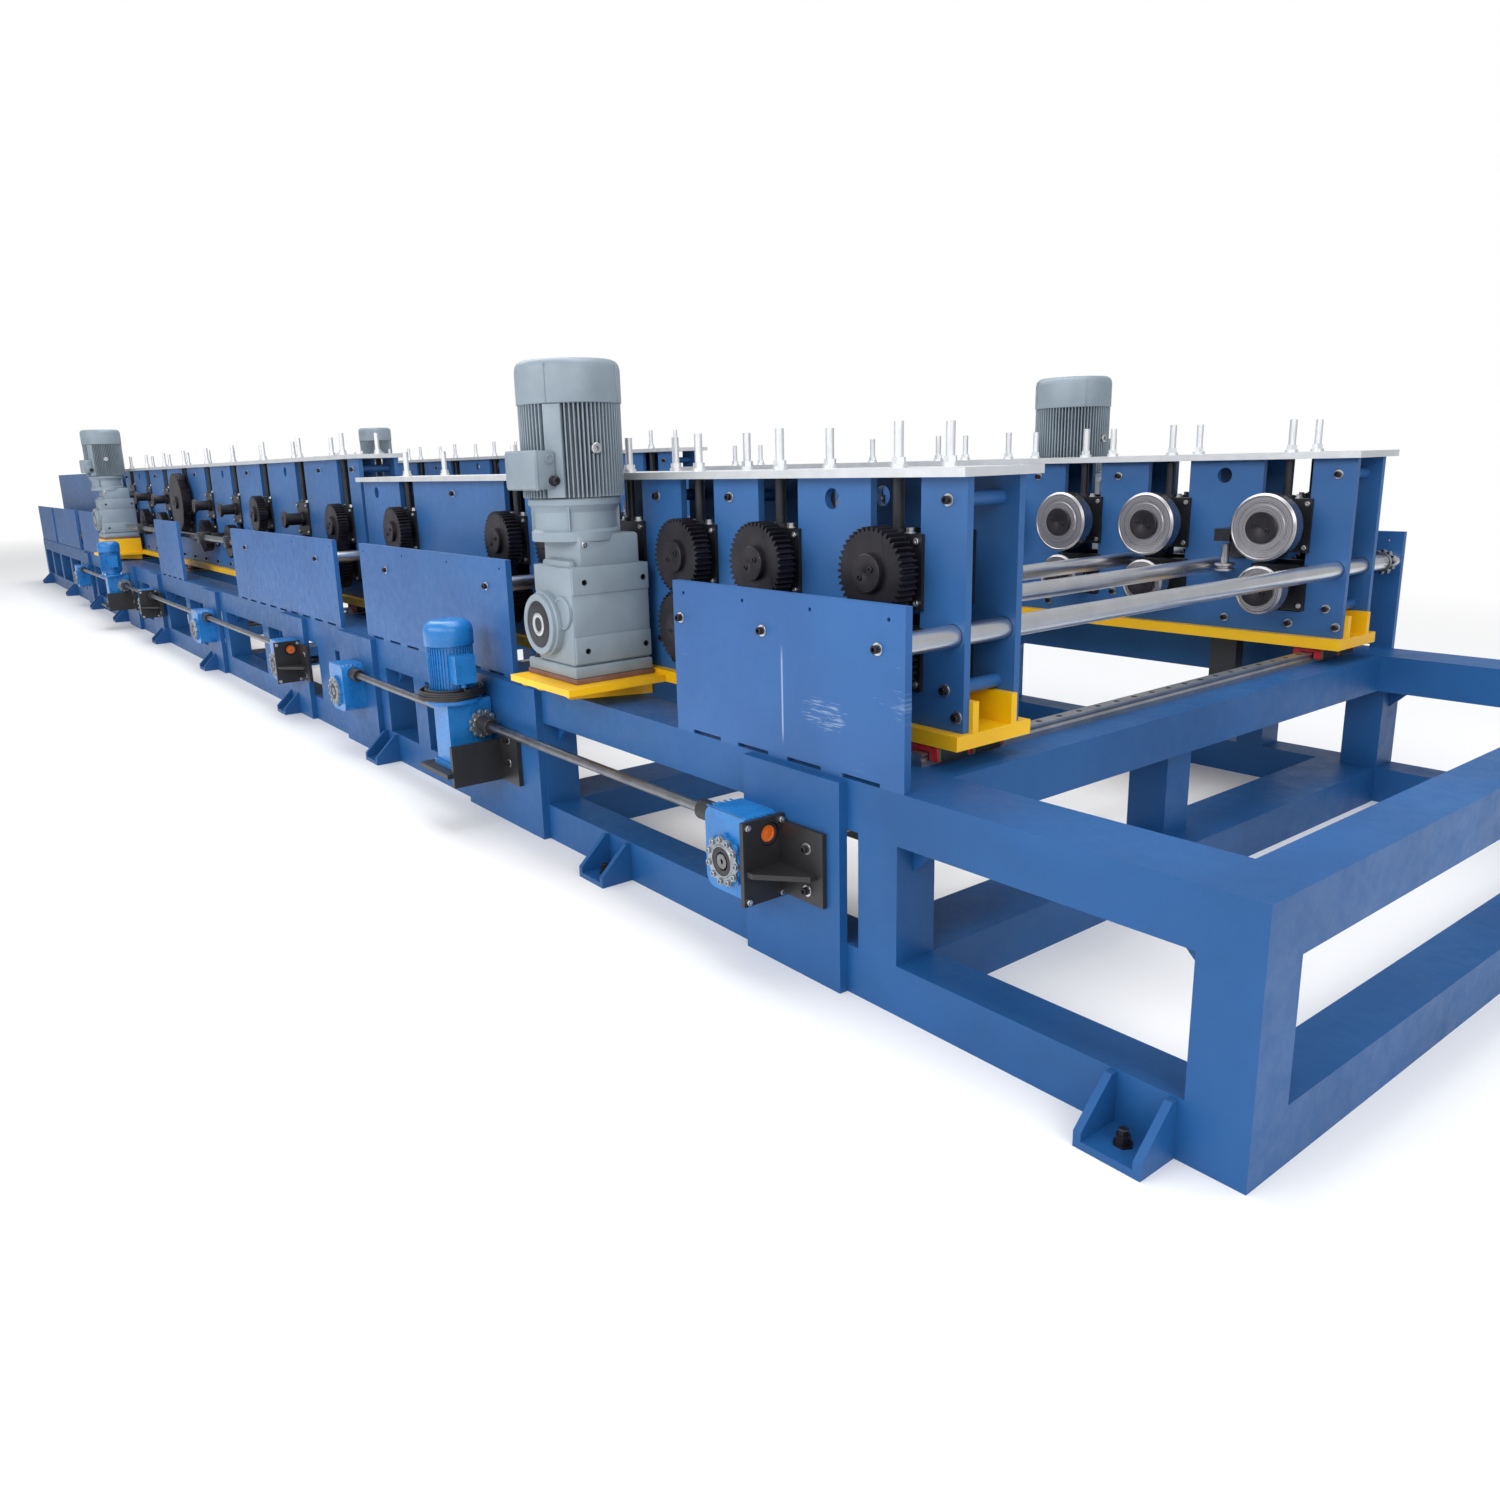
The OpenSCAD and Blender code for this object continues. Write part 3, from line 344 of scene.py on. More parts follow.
rail_steel = steel("ground_rail_steel", "#b9babb", "#a2a3a4", 0.42, (1, 0.02, 1), relief=0.05)
chrome = steel("hard_chromed_bar", "#dcdddf", "#d0d1d3", 0.3, (1, 0.02, 1), streak=6, spread=0.03, relief=0.01)
milled = steel("milled_top_plate", "#dcdee0", "#d0d3d5", 0.42, (0.05, 1, 1), streak=2, metallic=0.7)
die_cast = steel("die_cast_aluminium", "#a4a9ae", "#8f959b", 0.45, (1, 1, 1), streak=5)
zinc = steel("zinc_plated_steel", "#d2d3d4", "#bfc0c2", 0.36, (1, 1, 1), streak=6)
oxide = steel("black_oxide_steel", "#3b383d", "#2b292d", 0.42, (1, 1, 1), streak=5, metallic=0.75)
shaft_steel = steel("oiled_shaft_steel", "#8a8b8e", "#6e6f73", 0.34, (0.05, 1, 1), streak=3)
cast = steel("oiled_block_steel", "#34353a", "#26272b", 0.4, (1, 1, 1), streak=8, metallic=0.6)
print("steels made")

# %% [markdown]
# Rolls are finished on a lathe. The tool leaves rings round the axis, so this steel reads a value
# called radius that each turned piece stores at its points: rings of one radius get one gloss.

# %% Turned steel
turned, tree, shader, where = material("turned_roll_steel")
shader.inputs["Metallic"].default_value = 1
radius_of_point = add(tree, "ShaderNodeAttribute", {"attribute_name": "radius"})
rings = add(tree, "ShaderNodeTexNoise", {"noise_dimensions": "1D", "Scale": per_metre(3), "Detail": 4},
            W=radius_of_point.outputs["Fac"])
ring_tone = add(tree, "ShaderNodeValToRGB", {}, Fac=rings.outputs["Fac"])
ring_tone.color_ramp.elements[0].color = colour("#8f8d90")
ring_tone.color_ramp.elements[0].position = 0.3
ring_tone.color_ramp.elements[1].color = colour("#bfbdc0")
ring_tone.color_ramp.elements[1].position = 0.7
ring_gloss = add(tree, "ShaderNodeMapRange", {"From Min": 0.3, "From Max": 0.7, "To Min": 0.26, "To Max": 0.44},
                 Value=rings.outputs["Fac"])
ring_bump = add(tree, "ShaderNodeBump", {"Strength": 0.15, "Distance": 0.0002}, Height=rings.outputs["Fac"])
tree.links.new(ring_tone.outputs["Color"], shader.inputs["Base Color"])
tree.links.new(ring_gloss.outputs["Result"], shader.inputs["Roughness"])
tree.links.new(ring_bump.outputs["Normal"], shader.inputs["Normal"])

# %% [markdown]
# The lead's sheath is soft black PVC, matt with a faint sheen.

# %% Sheath
sheath, tree, shader, where = material("black_pvc_sheath")
marks = add(tree, "ShaderNodeTexNoise", {"Scale": per_metre(25), "Detail": 4}, Vector=where)
tone = add(tree, "ShaderNodeValToRGB", {}, Fac=marks.outputs["Fac"])
tone.color_ramp.elements[0].color = colour("#151516")
tone.color_ramp.elements[1].color = colour("#242426")
tree.links.new(tone.outputs["Color"], shader.inputs["Base Color"])
shader.inputs["Roughness"].default_value = 0.5
curve.materials.append(sheath)

# %% [markdown]
# Most solids keep their shape and only get their finish. A node's name says which group it is in.

# %% Finishes on the solids
FINISHES = {
    "base_": blue, "_plates": raft_blue_painted_lighter, "guard_plates": scuffed, "linear_rails": rail_steel,
    "guide_bars": chrome, "adjust_reducers": reducer_blue, "adjust_brackets": bracket_black,
    "adjust_motors": reducer_blue, "lead_screws": shaft_steel, "adjust_shafts": shaft_steel,
    "_carriage": yellow, "_top": milled, "_blocks": cast, "_drive": gear_grey, "_train": oxide,
    "_lower_": oxide, "_upper_": oxide, "motor_cable": sheath,
}


def dress(node, finish):
    """Gives every material slot of a CAD node this finish."""
    for place_in_list in node.material_slots:
        place_in_list.material = finish
    if not node.material_slots:
        node.data.materials.append(finish)


for name, node in frame["nodes"].items():
    for part_of_name, finish in FINISHES.items():
        if part_of_name in name:
            dress(node, finish)
print("finished solids:", len(frame["nodes"]))

# %% [markdown]
# New pieces start as a primitive that is shaped in edit mode. A few helpers keep that short: one
# starts a shape with nothing else selected, one picks faces by a test on their centre and normal,
# and one copies a finished shape to all its places and rides the result on a body.

# %% Modelling helpers


def start(primitive, **settings):
    """Adds a primitive with nothing else selected and goes into edit mode on it."""
    if bpy.context.mode != "OBJECT":
        bpy.ops.object.mode_set(mode="OBJECT")
    bpy.ops.object.select_all(action="DESELECT")
    getattr(bpy.ops.mesh, primitive)(**settings)
    made = bpy.context.object
    bpy.ops.object.mode_set(mode="EDIT")
    bpy.ops.mesh.select_mode(type="FACE")
    return made


def pick(test):
    """Selects the faces for which test(centre, normal) is true."""
    made = bpy.context.object
    bpy.ops.mesh.select_all(action="DESELECT")
    shape = bmesh.from_edit_mesh(made.data)
    for face in shape.faces:
        face.select = bool(test(face.calc_center_median(), face.normal))
    shape.select_flush(True)
    bmesh.update_edit_mesh(made.data)


def done(angle=35):
    """Leaves edit mode, applies the object's place and shades it smooth up to an angle."""
    bpy.ops.object.mode_set(mode="OBJECT")
    made = bpy.context.object
    bpy.ops.object.transform_apply(location=True, rotation=True, scale=True)
    bpy.ops.object.shade_smooth_by_angle(angle=math.radians(angle))
    return made


def extrude(depth, axis=(0, 0, 1)):
    """Extrudes what is selected by a depth in metres along an axis."""
    bpy.ops.mesh.extrude_region_move(TRANSFORM_OT_translate={"value": tuple(Vector(axis) * depth)})


def copies(model, places, name):
    """One new object with a copy of the model's mesh at every place."""
    shape = bmesh.new()
    for where_to in places:
        part = model.data.copy()
        part.transform(where_to)
        if where_to.determinant() < 0:
            part.flip_normals()
        shape.from_mesh(part)
        bpy.data.meshes.remove(part)
    mesh = bpy.data.meshes.new(name)
    shape.to_mesh(mesh)
    shape.free()
    made = bpy.data.objects.new(name, mesh)
    bpy.context.scene.collection.objects.link(made)
    return made


def scatter(model, places, name, body, finish):
    """Copies the model's mesh to every place as one piece that rides on a body."""
    made = copies(model, places, name)
    made.data.materials.clear()
    made.data.materials.append(finish)
    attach(made, body)
    MODELS.add(model.name)
    return made


MODELS = set()


def facing(d, y, z, side="near"):
    """Matrix to a place for a shape that the far side has as in a mirror."""
    if side == "near":
        return Matrix.Translation(place(d, y, z))
    return Matrix.Translation(place(d, WIDTH - y, z)) @ Matrix.Diagonal((1, -1, 1, 1))


def block(x, y, z, edge, segments=2):
    """A cube stretched between two places in x, y and z, in mm, with its edges rounded."""
    start("primitive_cube_add", size=1)
    bpy.ops.transform.resize(value=[mm(b - a) for a, b in (x, y, z)])
    bpy.ops.transform.translate(value=[mm(a + b) / 2 for a, b in (x, y, z)])
    bpy.ops.mesh.bevel(offset=mm(edge), segments=segments, affect="EDGES")
    return done(40)


def join(name, models):
    """Makes one object of several."""
    bpy.ops.object.select_all(action="DESELECT")
    for model in models:
        model.select_set(True)
    bpy.context.view_layer.objects.active = models[0]
    bpy.ops.object.join()
    models[0].name = name
    return models[0]


def moved(model, x=0, y=0, z=0, turn=None):
    """Turns a shape and then moves it by mm."""
    model.data.transform(Matrix.Translation((mm(x), mm(y), mm(z))) @ (turn or Matrix.Identity(4)))
    return model


UPRIGHT = Matrix.Rotation(math.pi / 2, 4, "X")
TO_ENTRY = Matrix.Rotation(-math.pi / 2, 4, "Z")
INWARDS = Matrix.Rotation(math.pi, 4, "Z")


def turned_shape(name, profile, segments=48):
    """Spins a profile of (distance along the axis, radius) in mm round the axis into the machine."""
    mesh = bpy.data.meshes.new(name)
    mesh.from_pydata([(mm(r), mm(a), 0) for a, r in profile], [(i, i + 1) for i in range(len(profile) - 1)], [])
    made = bpy.data.objects.new(name, mesh)
    bpy.context.scene.collection.objects.link(made)
    bpy.ops.object.select_all(action="DESELECT")
    made.select_set(True)
    bpy.context.view_layer.objects.active = made
    bpy.ops.object.mode_set(mode="EDIT")
    bpy.ops.mesh.select_all(action="SELECT")
    bpy.ops.mesh.spin(steps=segments, angle=2 * math.pi, center=(0, 0, 0), axis=(0, 1, 0))
    bpy.ops.mesh.select_all(action="SELECT")
    bpy.ops.mesh.remove_doubles(threshold=0.00002)
    bpy.ops.mesh.normals_make_consistent(inside=False)
    done(30)
    rings = made.data.attributes.new("radius", "FLOAT", "POINT")
    rings.data.foreach_set("value", [math.hypot(v.co.x, v.co.z) for v in made.data.vertices])
    return made


print("modelling helpers ready")

# %% [markdown]
# Roll stands. The first rows are the stations of both sections, read from the construction: distance
# from the entry, height of the lower shaft, and the teeth of the upper gear (0 for a plain hub).

# %% Stands
RAFT_Y, RAFT_W, PLATE = 294, 243, 25
INNER_Y = RAFT_Y + RAFT_W
MESH = 252
A_STANDS = [(1310, 948, 42), (1837, 948, 42), (2283, 948, 42), (2740, 948, -1), (3210, 948, 42),
            (3710, 948, 42), (5000, 948, 42)]
B_KINDS = [42, 0, 42, 0, 0, 86, 0, 0, -1]
B_STANDS = [(6000 + 865 * i, 953 + 18 * i, kind) for i, kind in enumerate(B_KINDS)]
MOVING = 3
print("stands:", len(A_STANDS), "and", len(B_STANDS), "a side")

# %% [markdown]
# A roll is turned from tool steel: a broad working face with a chamfer, a lower step behind it and
# a spacer ring towards the raft. The profile is drawn once and spun round the shaft's axis.

# %% Rolls
FACE_Y = INNER_Y + 74


def roll_profile(radius):
    front = FACE_Y + 100
    return [(front, 0), (front, radius - 46), (front - 3, radius - 44), (front - 3, radius - 12),
            (front, radius - 9), (front - 8, radius), (front - 60, radius), (front - 64, radius - 3),
            (front - 65, radius - 18), (FACE_Y + 5, radius - 18), (FACE_Y, radius - 23), (FACE_Y, 54),
            (FACE_Y - 1, 52), (INNER_Y + 14, 52), (INNER_Y + 14, 0)]


upper_roll = turned_shape("upper_roll", roll_profile(136))
lower_roll = turned_shape("lower_roll", roll_profile(98))
collar = turned_shape("roll_collar", [(FACE_Y - 26, 50), (FACE_Y - 26, 70), (FACE_Y - 24, 72), (FACE_Y - 20, 72),
                                      (FACE_Y - 18, 70), (FACE_Y - 18, 50)])
print("roll faces:", len(upper_roll.data.polygons), len(lower_roll.data.polygons))

# %% [markdown]
# The gears are plain spur gears of module 6 with a 20 degree pressure angle. A circle gets six
# points a tooth, each is moved to its place on the tooth, and the outline is then inset a little and
# extruded to the gear's width.

# %% Gears
MODULE = 6
GEAR_BACK, GEAR_WIDE = RAFT_Y - 42, 62


def tooth_points(teeth):
    """Corners of one tooth as pairs of radius in mm and angle in radians."""
    pitch = MODULE * teeth / 2
    base = pitch * math.cos(math.radians(20))

    def unwound(radius):
        return math.sqrt(max((radius / base) ** 2 - 1, 0)) - math.acos(min(base / radius, 1))

    half = math.pi / 2 / teeth - 0.25 / pitch + unwound(pitch)
    radii = [max(base + 0.01, pitch - 1.25 * MODULE), pitch, pitch + MODULE]
    rising = [(r, unwound(r) - half) for r in radii]
    return rising + [(r, -a) for r, a in rising[::-1]]


def gear(name, teeth):
    tooth = tooth_points(teeth)
    made = start("primitive_circle_add", vertices=teeth * len(tooth), radius=1, fill_type="NGON")
    shape = bmesh.from_edit_mesh(made.data)
    shape.verts.ensure_lookup_table()
    for i, vert in enumerate(shape.verts):
        radius, angle = tooth[i % len(tooth)]
        angle += 2 * math.pi * (i // len(tooth)) / teeth
        vert.co = (mm(radius) * math.cos(angle), mm(GEAR_BACK), mm(radius) * math.sin(angle))
    bmesh.update_edit_mesh(made.data)
    bpy.ops.mesh.select_all(action="SELECT")
    bpy.ops.mesh.inset(thickness=mm(1.2))
    bpy.ops.mesh.select_all(action="SELECT")
    extrude(-mm(GEAR_WIDE), (0, 1, 0))
    bpy.ops.mesh.select_all(action="SELECT")
    bpy.ops.mesh.normals_make_consistent(inside=False)
    return done(25)


upper_gear = gear("gear_42", 42)
lower_gear = upper_gear.copy()
lower_gear.data = upper_gear.data.copy()
lower_gear.data.transform(Matrix.Rotation(math.radians(180 / 42), 4, "Y"))
big_gear = gear("gear_86", 86)
CAP_FRONT = GEAR_BACK - GEAR_WIDE - 18
gear_cap = turned_shape("gear_cap", [(CAP_FRONT + 19, 0), (CAP_FRONT + 19, 56), (CAP_FRONT + 2, 56), (CAP_FRONT, 54),
                                     (CAP_FRONT, 8), (CAP_FRONT + 1, 6), (CAP_FRONT + 1, 0)], 40)
gear_neck = turned_shape("gear_neck", [(GEAR_BACK - 1, 0), (GEAR_BACK - 1, 46), (RAFT_Y - 14, 46), (RAFT_Y - 14, 0)], 32)
hub = turned_shape("shaft_hub", [(RAFT_Y - 14, 0), (RAFT_Y - 14, 48), (RAFT_Y - 30, 48), (RAFT_Y - 32, 46),
                                 (RAFT_Y - 32, 40), (RAFT_Y - 123, 40), (RAFT_Y - 123, 54), (RAFT_Y - 125, 56),
                                 (RAFT_Y - 144, 56), (RAFT_Y - 146, 54), (RAFT_Y - 146, 20), (RAFT_Y - 142, 16),
                                 (RAFT_Y - 142, 0)], 40)
roll_cap = turned_shape("roll_cap", [(FACE_Y + 99, 0), (FACE_Y + 99, 64), (FACE_Y + 110, 64), (FACE_Y + 112, 62),
                                     (FACE_Y + 112, 8), (FACE_Y + 111, 6), (FACE_Y + 111, 0)], 40)
print("gear faces:", len(upper_gear.data.polygons), len(big_gear.data.polygons))

# %% [markdown]
# Socket head screws hold nearly everything. Each is a knurled head with a hexagon socket and a
# bright washer under it, modelled once with its axis towards the near side.

# %% Screws


def socket_screw(name, head=24, tall=14, washer=36):
    made = start("primitive_cylinder_add", vertices=12, radius=mm(head / 2), depth=mm(tall), end_fill_type="NGON",
                 location=(0, -mm(tall / 2 + (3 if washer else 0)), 0), rotation=(math.pi / 2, 0, 0))
    pick(lambda c, n: abs(n.z) > 0.9)
    shape = bmesh.from_edit_mesh(made.data)
    bpy.ops.mesh.select_all(action="DESELECT")
    for face in shape.faces:
        face.select = face.normal.z > 0.9
    bmesh.update_edit_mesh(made.data)
    bpy.ops.mesh.inset(thickness=mm(head * 0.05), depth=mm(head * 0.04))
    bpy.ops.mesh.inset(thickness=mm(head * 0.16))
    bpy.ops.mesh.inset(thickness=0, depth=-mm(tall * 0.5))
    return done(30)


def washer_ring(name, outer=36):
    return turned_shape(name, [(0, 0), (0, outer / 2 - 0.6), (-0.6, outer / 2), (-2.4, outer / 2), (-3, outer / 2 - 0.6),
                               (-3, 0)], 20)


screw = socket_screw("socket_screw")
washer = washer_ring("washer")
print("screw faces:", len(screw.data.polygons))

# %% [markdown]
# Everything that sits on the shafts now goes to its stand. The first three stands turn in the
# model, so each of their shafts has its own pieces; the others ride on their raft.

# %% Shafts
def shaft_shape(outer, name):
    inner = FACE_Y + 2
    return turned_shape(name, [(outer, 0), (outer, 33), (outer + 2, 35), (inner - 2, 35), (inner, 33), (inner, 0)], 32)


def sockets(d, z, y, side, radius, angle, face):
    """Two screw heads sunk in a cap, turned by an angle."""
    out = []
    for extra in (0, 180):
        a = math.radians(angle + extra)
        offset = Matrix.Translation((mm(radius) * math.cos(a), mm(y), mm(radius) * math.sin(a)))
        flip = Matrix.Rotation(math.pi, 4, "Z") if face == "in" else Matrix.Identity(4)
        out.append(put(d, 0, z, side) @ offset @ flip)
    return out


def dress_shafts(label, body, side, shafts, nodes):
    """Rolls, gears, caps and shafts of these (d, z, upper or lower, teeth) on one body."""
    ups = [put(d, 0, z, side) for d, z, upper, teeth in shafts if upper]
    downs = [put(d, 0, z, side) for d, z, upper, teeth in shafts if not upper]
    every = [put(d, 0, z, side) for d, z, upper, teeth in shafts]
    made = []
    if ups:
        made.append(scatter(upper_roll, ups, label + "_top_rolls", body, turned))
    if downs:
        made.append(scatter(lower_roll, downs, label + "_low_rolls", body, turned))
    made.append(scatter(collar, every, label + "_collars", body, cast))
    made.append(scatter(roll_cap, every, label + "_roll_caps", body, oxide))
    groups = [("_gears", upper_gear, [put(d, 0, z, side) for d, z, u, t in shafts if u and t == 42]),
              ("_low_gears", lower_gear, [put(d, 0, z, side) for d, z, u, t in shafts if not u and t == 42]),
              ("_big_gear", big_gear, [put(d, 0, z, side) for d, z, u, t in shafts if t == 86]),
              ("_gear_caps", gear_cap, [put(d, 0, z, side) for d, z, u, t in shafts if t > 0]),
              ("_gear_necks", gear_neck, [put(d, 0, z, side) for d, z, u, t in shafts if t > 0]),
              ("_hubs", hub, [put(d, 0, z, side) for d, z, u, t in shafts if t == 0])]
    for ending, model, places in groups:
        if places:
            made.append(scatter(model, places, label + ending, body, oxide))
    made.append(scatter(shaft_long, every, label + "_shafts", body, shaft_steel))
    heads = []
    for d, z, upper, teeth in shafts:
        heads += sockets(d, z, FACE_Y + 107, side, 29, 20, "in")
        if teeth > 0:
            heads += sockets(d, z, CAP_FRONT + 5, side, 25, 30, "out")
    made.append(scatter(small_screw, heads, label + "_cap_screws", body, cast))
    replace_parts(made[0], *nodes)
    return made


shaft_long = shaft_shape(GEAR_BACK - GEAR_WIDE, "roll_shaft")
small_screw = socket_screw("cap_screw", head=18, tall=9, washer=0)
for side in ("near", "far"):
    for i, (d, z, teeth) in enumerate(A_STANDS[:MOVING], 1):
        for level, upper in (("lower", False), ("upper", True)):
            name = f"{side}_{level}_{i}"
            dress_shafts(name, name, side, [(d, z + (MESH if upper else 0), upper, teeth)], [name])
    for letter, stands in (("a", A_STANDS[MOVING:]), ("b", B_STANDS)):
        shafts = []
        for d, z, teeth in stands:
            shafts += [(d, z + MESH, True, teeth), (d, z, False, -1 if teeth in (86, -1) else 42)]
        dress_shafts(f"{letter}_{side}", f"raft_{letter}_{side}", side, shafts, [f"{letter}_{side}_train"])
print("rolls, gears and shafts placed")

# %% [markdown]
# The main gearmotors stand on yellow brackets and drive one lower shaft each. A gearmotor is a grey
# cast case with raised panels, an adaptor, and an upright motor in cooling fins under a fan cover.
# It is modelled once with the driven shaft's axis as its origin, and mirrored for the far side.

# %% Gearmotor case
MOTOR_X, MOTOR_IN = 25, 42
AXIS = (MOTOR_X, MOTOR_IN)
case = [
    block((-175, 195), (-92, 246), (-191, -147), 7),
    block((-95, 185), (-88, 252), (-148, 217), 14),
    block((-92, 182), (-40, 217), (200, 329), 14),
    block((-60, 150), (-70, -30), (150, 240), 16),
]
for low in (-138, 116):
    case.append(block((180, 191), (-82, 246), (low, low + 100), 3))
    case.append(block((-101, -90), (-82, 246), (low, low + 100), 3))
case.append(turned_shape("output_ring", [(-86, 0), (-86, 121), (-113, 121), (-118, 116), (-118, 113), (-130, 113),
                                         (-133, 110), (-133, 90), (-127, 86), (-127, 0)], 48))
cover = turned_shape("side_cover", [(-86, 0), (-86, 62), (-97, 62), (-100, 59), (-100, 50), (-97, 48), (-97, 0)], 32)
case.append(moved(cover, 120, 0, 48))
neck = turned_shape("adaptor", [(307, 0), (307, 166), (340, 166), (342, 163), (350, 152), (411, 152), (432, 166),
                                (437, 172), (456, 172), (460, 168), (460, 0)], 48)
case.append(moved(neck, *AXIS, turn=UPRIGHT))
rib = block((150, 165), (-3, 3), (342, 436), 1.5)
case.append(moved(copies(rib, [Matrix.Rotation(math.radians(a), 4, "Z") for a in (-38, 52, 142, 232)], "ribs"), *AXIS))
MODELS.add(rib.name)
print("case shapes:", len(case))

# %% [markdown]
# The motor's frame is cast with fins that run up it, so that the fan's air is led between them. One
# fin is bevelled and copied round, leaving room for the pad beside the terminal box.

# %% Motor
PAD_FROM, PAD_TO = -62, -38
frame_tube = turned_shape("motor_frame", [(458, 0), (458, 152), (796, 152), (796, 0)], 48)
fan_cover = turned_shape("fan_cover", [(790, 0), (790, 188), (793, 191), (906, 191), (924, 187), (936, 178),
                                       (942, 166), (942, 60), (937, 56), (937, 0)], 48)
fin = block((148, 187), (-2.6, 2.6), (464, 790), 1, 1)
spread = [a for a in range(0, 360, 5) if not PAD_FROM < (a if a < 180 else a - 360) < PAD_TO]
fins = copies(fin, [Matrix.Rotation(math.radians(a), 4, "Z") for a in spread], "fins")
MODELS.add(fin.name)
pad = moved(block((148, 183), (-34, 34), (464, 790), 4), turn=Matrix.Rotation(math.radians(-50), 4, "Z"))
motor = [moved(frame_tube, *AXIS, turn=UPRIGHT), moved(fan_cover, *AXIS, turn=UPRIGHT), moved(fins, *AXIS),
         moved(pad, *AXIS)]
seam = block((189, 193), (-3, 3), (795, 925), 1, 1)
motor.append(moved(copies(seam, [Matrix.Rotation(math.radians(a), 4, "Z") for a in (-55, 35, 125, 215)], "seams"), *AXIS))
MODELS.add(seam.name)
motor.append(block((-80, 152), (-183, -98), (495, 630), 10))
motor.append(block((-82, 154), (-176, -168), (493, 632), 3))
motor.append(block((-50, 120), (-130, -60), (505, 612), 8))
blank = turned_shape("blank", [(0, 0), (0, 17), (4, 17), (5, 15), (5, 12), (2, 11), (2, 0)], 20)
motor.append(moved(blank, 151, -123, 600, TO_ENTRY))
grey_shapes = join("gearmotor_body", case + motor)
print("gearmotor faces:", len(grey_shapes.data.polygons))

# %% [markdown]
# The dark and the bright bits of the gearmotor are a seal round the hollow output, the bolt holes of
# the panels, the gland, the bored hub with the shaft's end in it, a level plug and a lifting eye.

# %% Gearmotor fittings
seal = turned_shape("output_seal", [(-126, 0), (-126, 87), (-130, 87), (-131, 85), (-131, 46), (-129, 44), (-129, 0)], 48)
hole = turned_shape("panel_hole", [(0, 0), (0, 11), (1, 11), (1, 8), (0.4, 7), (0.4, 0)], 16)
hole_places = [Matrix.Translation((mm(190.6), mm(y), mm(z))) @ TO_ENTRY for y, z in ((-33, -92), (221, -92), (-33, 160), (221, 160))]
holes = copies(hole, hole_places, "panel_holes")
MODELS.add(hole.name)
gland = turned_shape("gland", [(0, 0), (0, 18), (11, 18), (12, 15), (26, 15), (30, 11), (30, 6), (24, 5), (24, 0)], 20)
dark_shapes = join("gearmotor_dark", [seal, holes, moved(gland, 152, -112, 525, TO_ENTRY)])
bored_hub = turned_shape("bored_hub", [(-120, 0), (-120, 25), (-132, 27), (-133, 29), (-133, 42), (-132, 44),
                                       (-126, 44), (-126, 0)], 40)
plug = turned_shape("level_plug", [(0, 0), (0, 11), (5, 11), (6, 9), (6, 4), (3, 3), (3, 0)], 16)
eye = turned_shape("lifting_eye", [(0, 0), (0, 20), (18, 20), (20, 17), (20, 9), (8, 8), (8, 0)], 24)
bright_shapes = join("gearmotor_bright", [bored_hub, moved(plug, 182, -20, 296, TO_ENTRY), moved(eye, 202, 34, 633, TO_ENTRY)])
shim = block((-180, 200), (-94, 248), (-211, -191), 1.5)
foot_bolt = turned_shape("foot_bolt", [(0, 0), (0, 22), (4, 22), (4, 17), (17, 17), (18, 15), (18, 9), (12, 8), (12, 0)], 12)
foot_places = [Matrix.Translation((mm(-140), mm(y), mm(-147))) @ UPRIGHT for y in (-60, 210)]
foot_bolts = copies(foot_bolt, foot_places, "foot_bolts")
MODELS.add(foot_bolt.name)
DRIVES = {"a": A_STANDS[3][:2], "b": B_STANDS[8][:2]}
for letter, (d, z) in DRIVES.items():
    for side in ("near", "far"):
        body = f"raft_{letter}_{side}"
        label = f"{letter}_{side}_gearmotor"
        spot = [facing(d, 0, z, side)]
        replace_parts(scatter(grey_shapes, spot, label, body, gear_grey), f"{letter}_{side}_drive")
        scatter(dark_shapes, spot, label + "_fittings", body, cast)
        scatter(bright_shapes, spot, label + "_hub", body, zinc)
        scatter(shim, spot, label + "_shim", body, primer)
        scatter(foot_bolts, spot, label + "_bolts", body, oxide)
print("gearmotors placed:", 2 * len(DRIVES))

# %% [markdown]
# Behind each gearmotor the driven shaft comes out of its bearing. The first section also has a
# small upright side roll beside its first stand, and the second has a long splined shaft in three
# bearers; all of them are turned steel.

# %% Driven shafts, side rolls and line shafts
stub = turned_shape("driven_shaft", [(-118, 0), (-118, 33), (-116, 35), (262, 35), (262, 46), (RAFT_Y - 14, 46),
                                     (RAFT_Y - 14, 0)], 32)
side_roll = turned_shape("side_roll", [(0, 0), (0, 36), (2, 40), (10, 40), (13, 30), (21, 30), (24, 40), (32, 40),
                                       (34, 36), (34, 16), (112, 16), (112, 0)], 40)
side_roll.data.transform(UPRIGHT)
spline = start("primitive_cylinder_add", vertices=40, radius=1, depth=mm(400), end_fill_type="NGON")
tooth_form = bmesh.from_edit_mesh(spline.data)
for vert in tooth_form.verts:
    angle = math.atan2(vert.co.y, vert.co.x)
    radius = 28 if round(angle / (2 * math.pi / 40)) % 4 in (0, 1) else 23
    vert.co = (vert.co.z, mm(radius) * math.cos(angle), mm(radius) * math.sin(angle))
bmesh.update_edit_mesh(spline.data)
bpy.ops.mesh.select_all(action="SELECT")
bpy.ops.mesh.normals_make_consistent(inside=False)
spline = done(30)
LINE_Y, LINE_Z, LINE_FROM, LINE_TO = 105, 1030, 7800, 12450
line_bar = turned_shape("line_bar", [(0, 0), (0, 22), (2, 24), (LINE_TO - LINE_FROM - 2, 24), (LINE_TO - LINE_FROM, 22),
                                     (LINE_TO - LINE_FROM, 0)], 24)
line_bar.data.transform(TO_ENTRY)
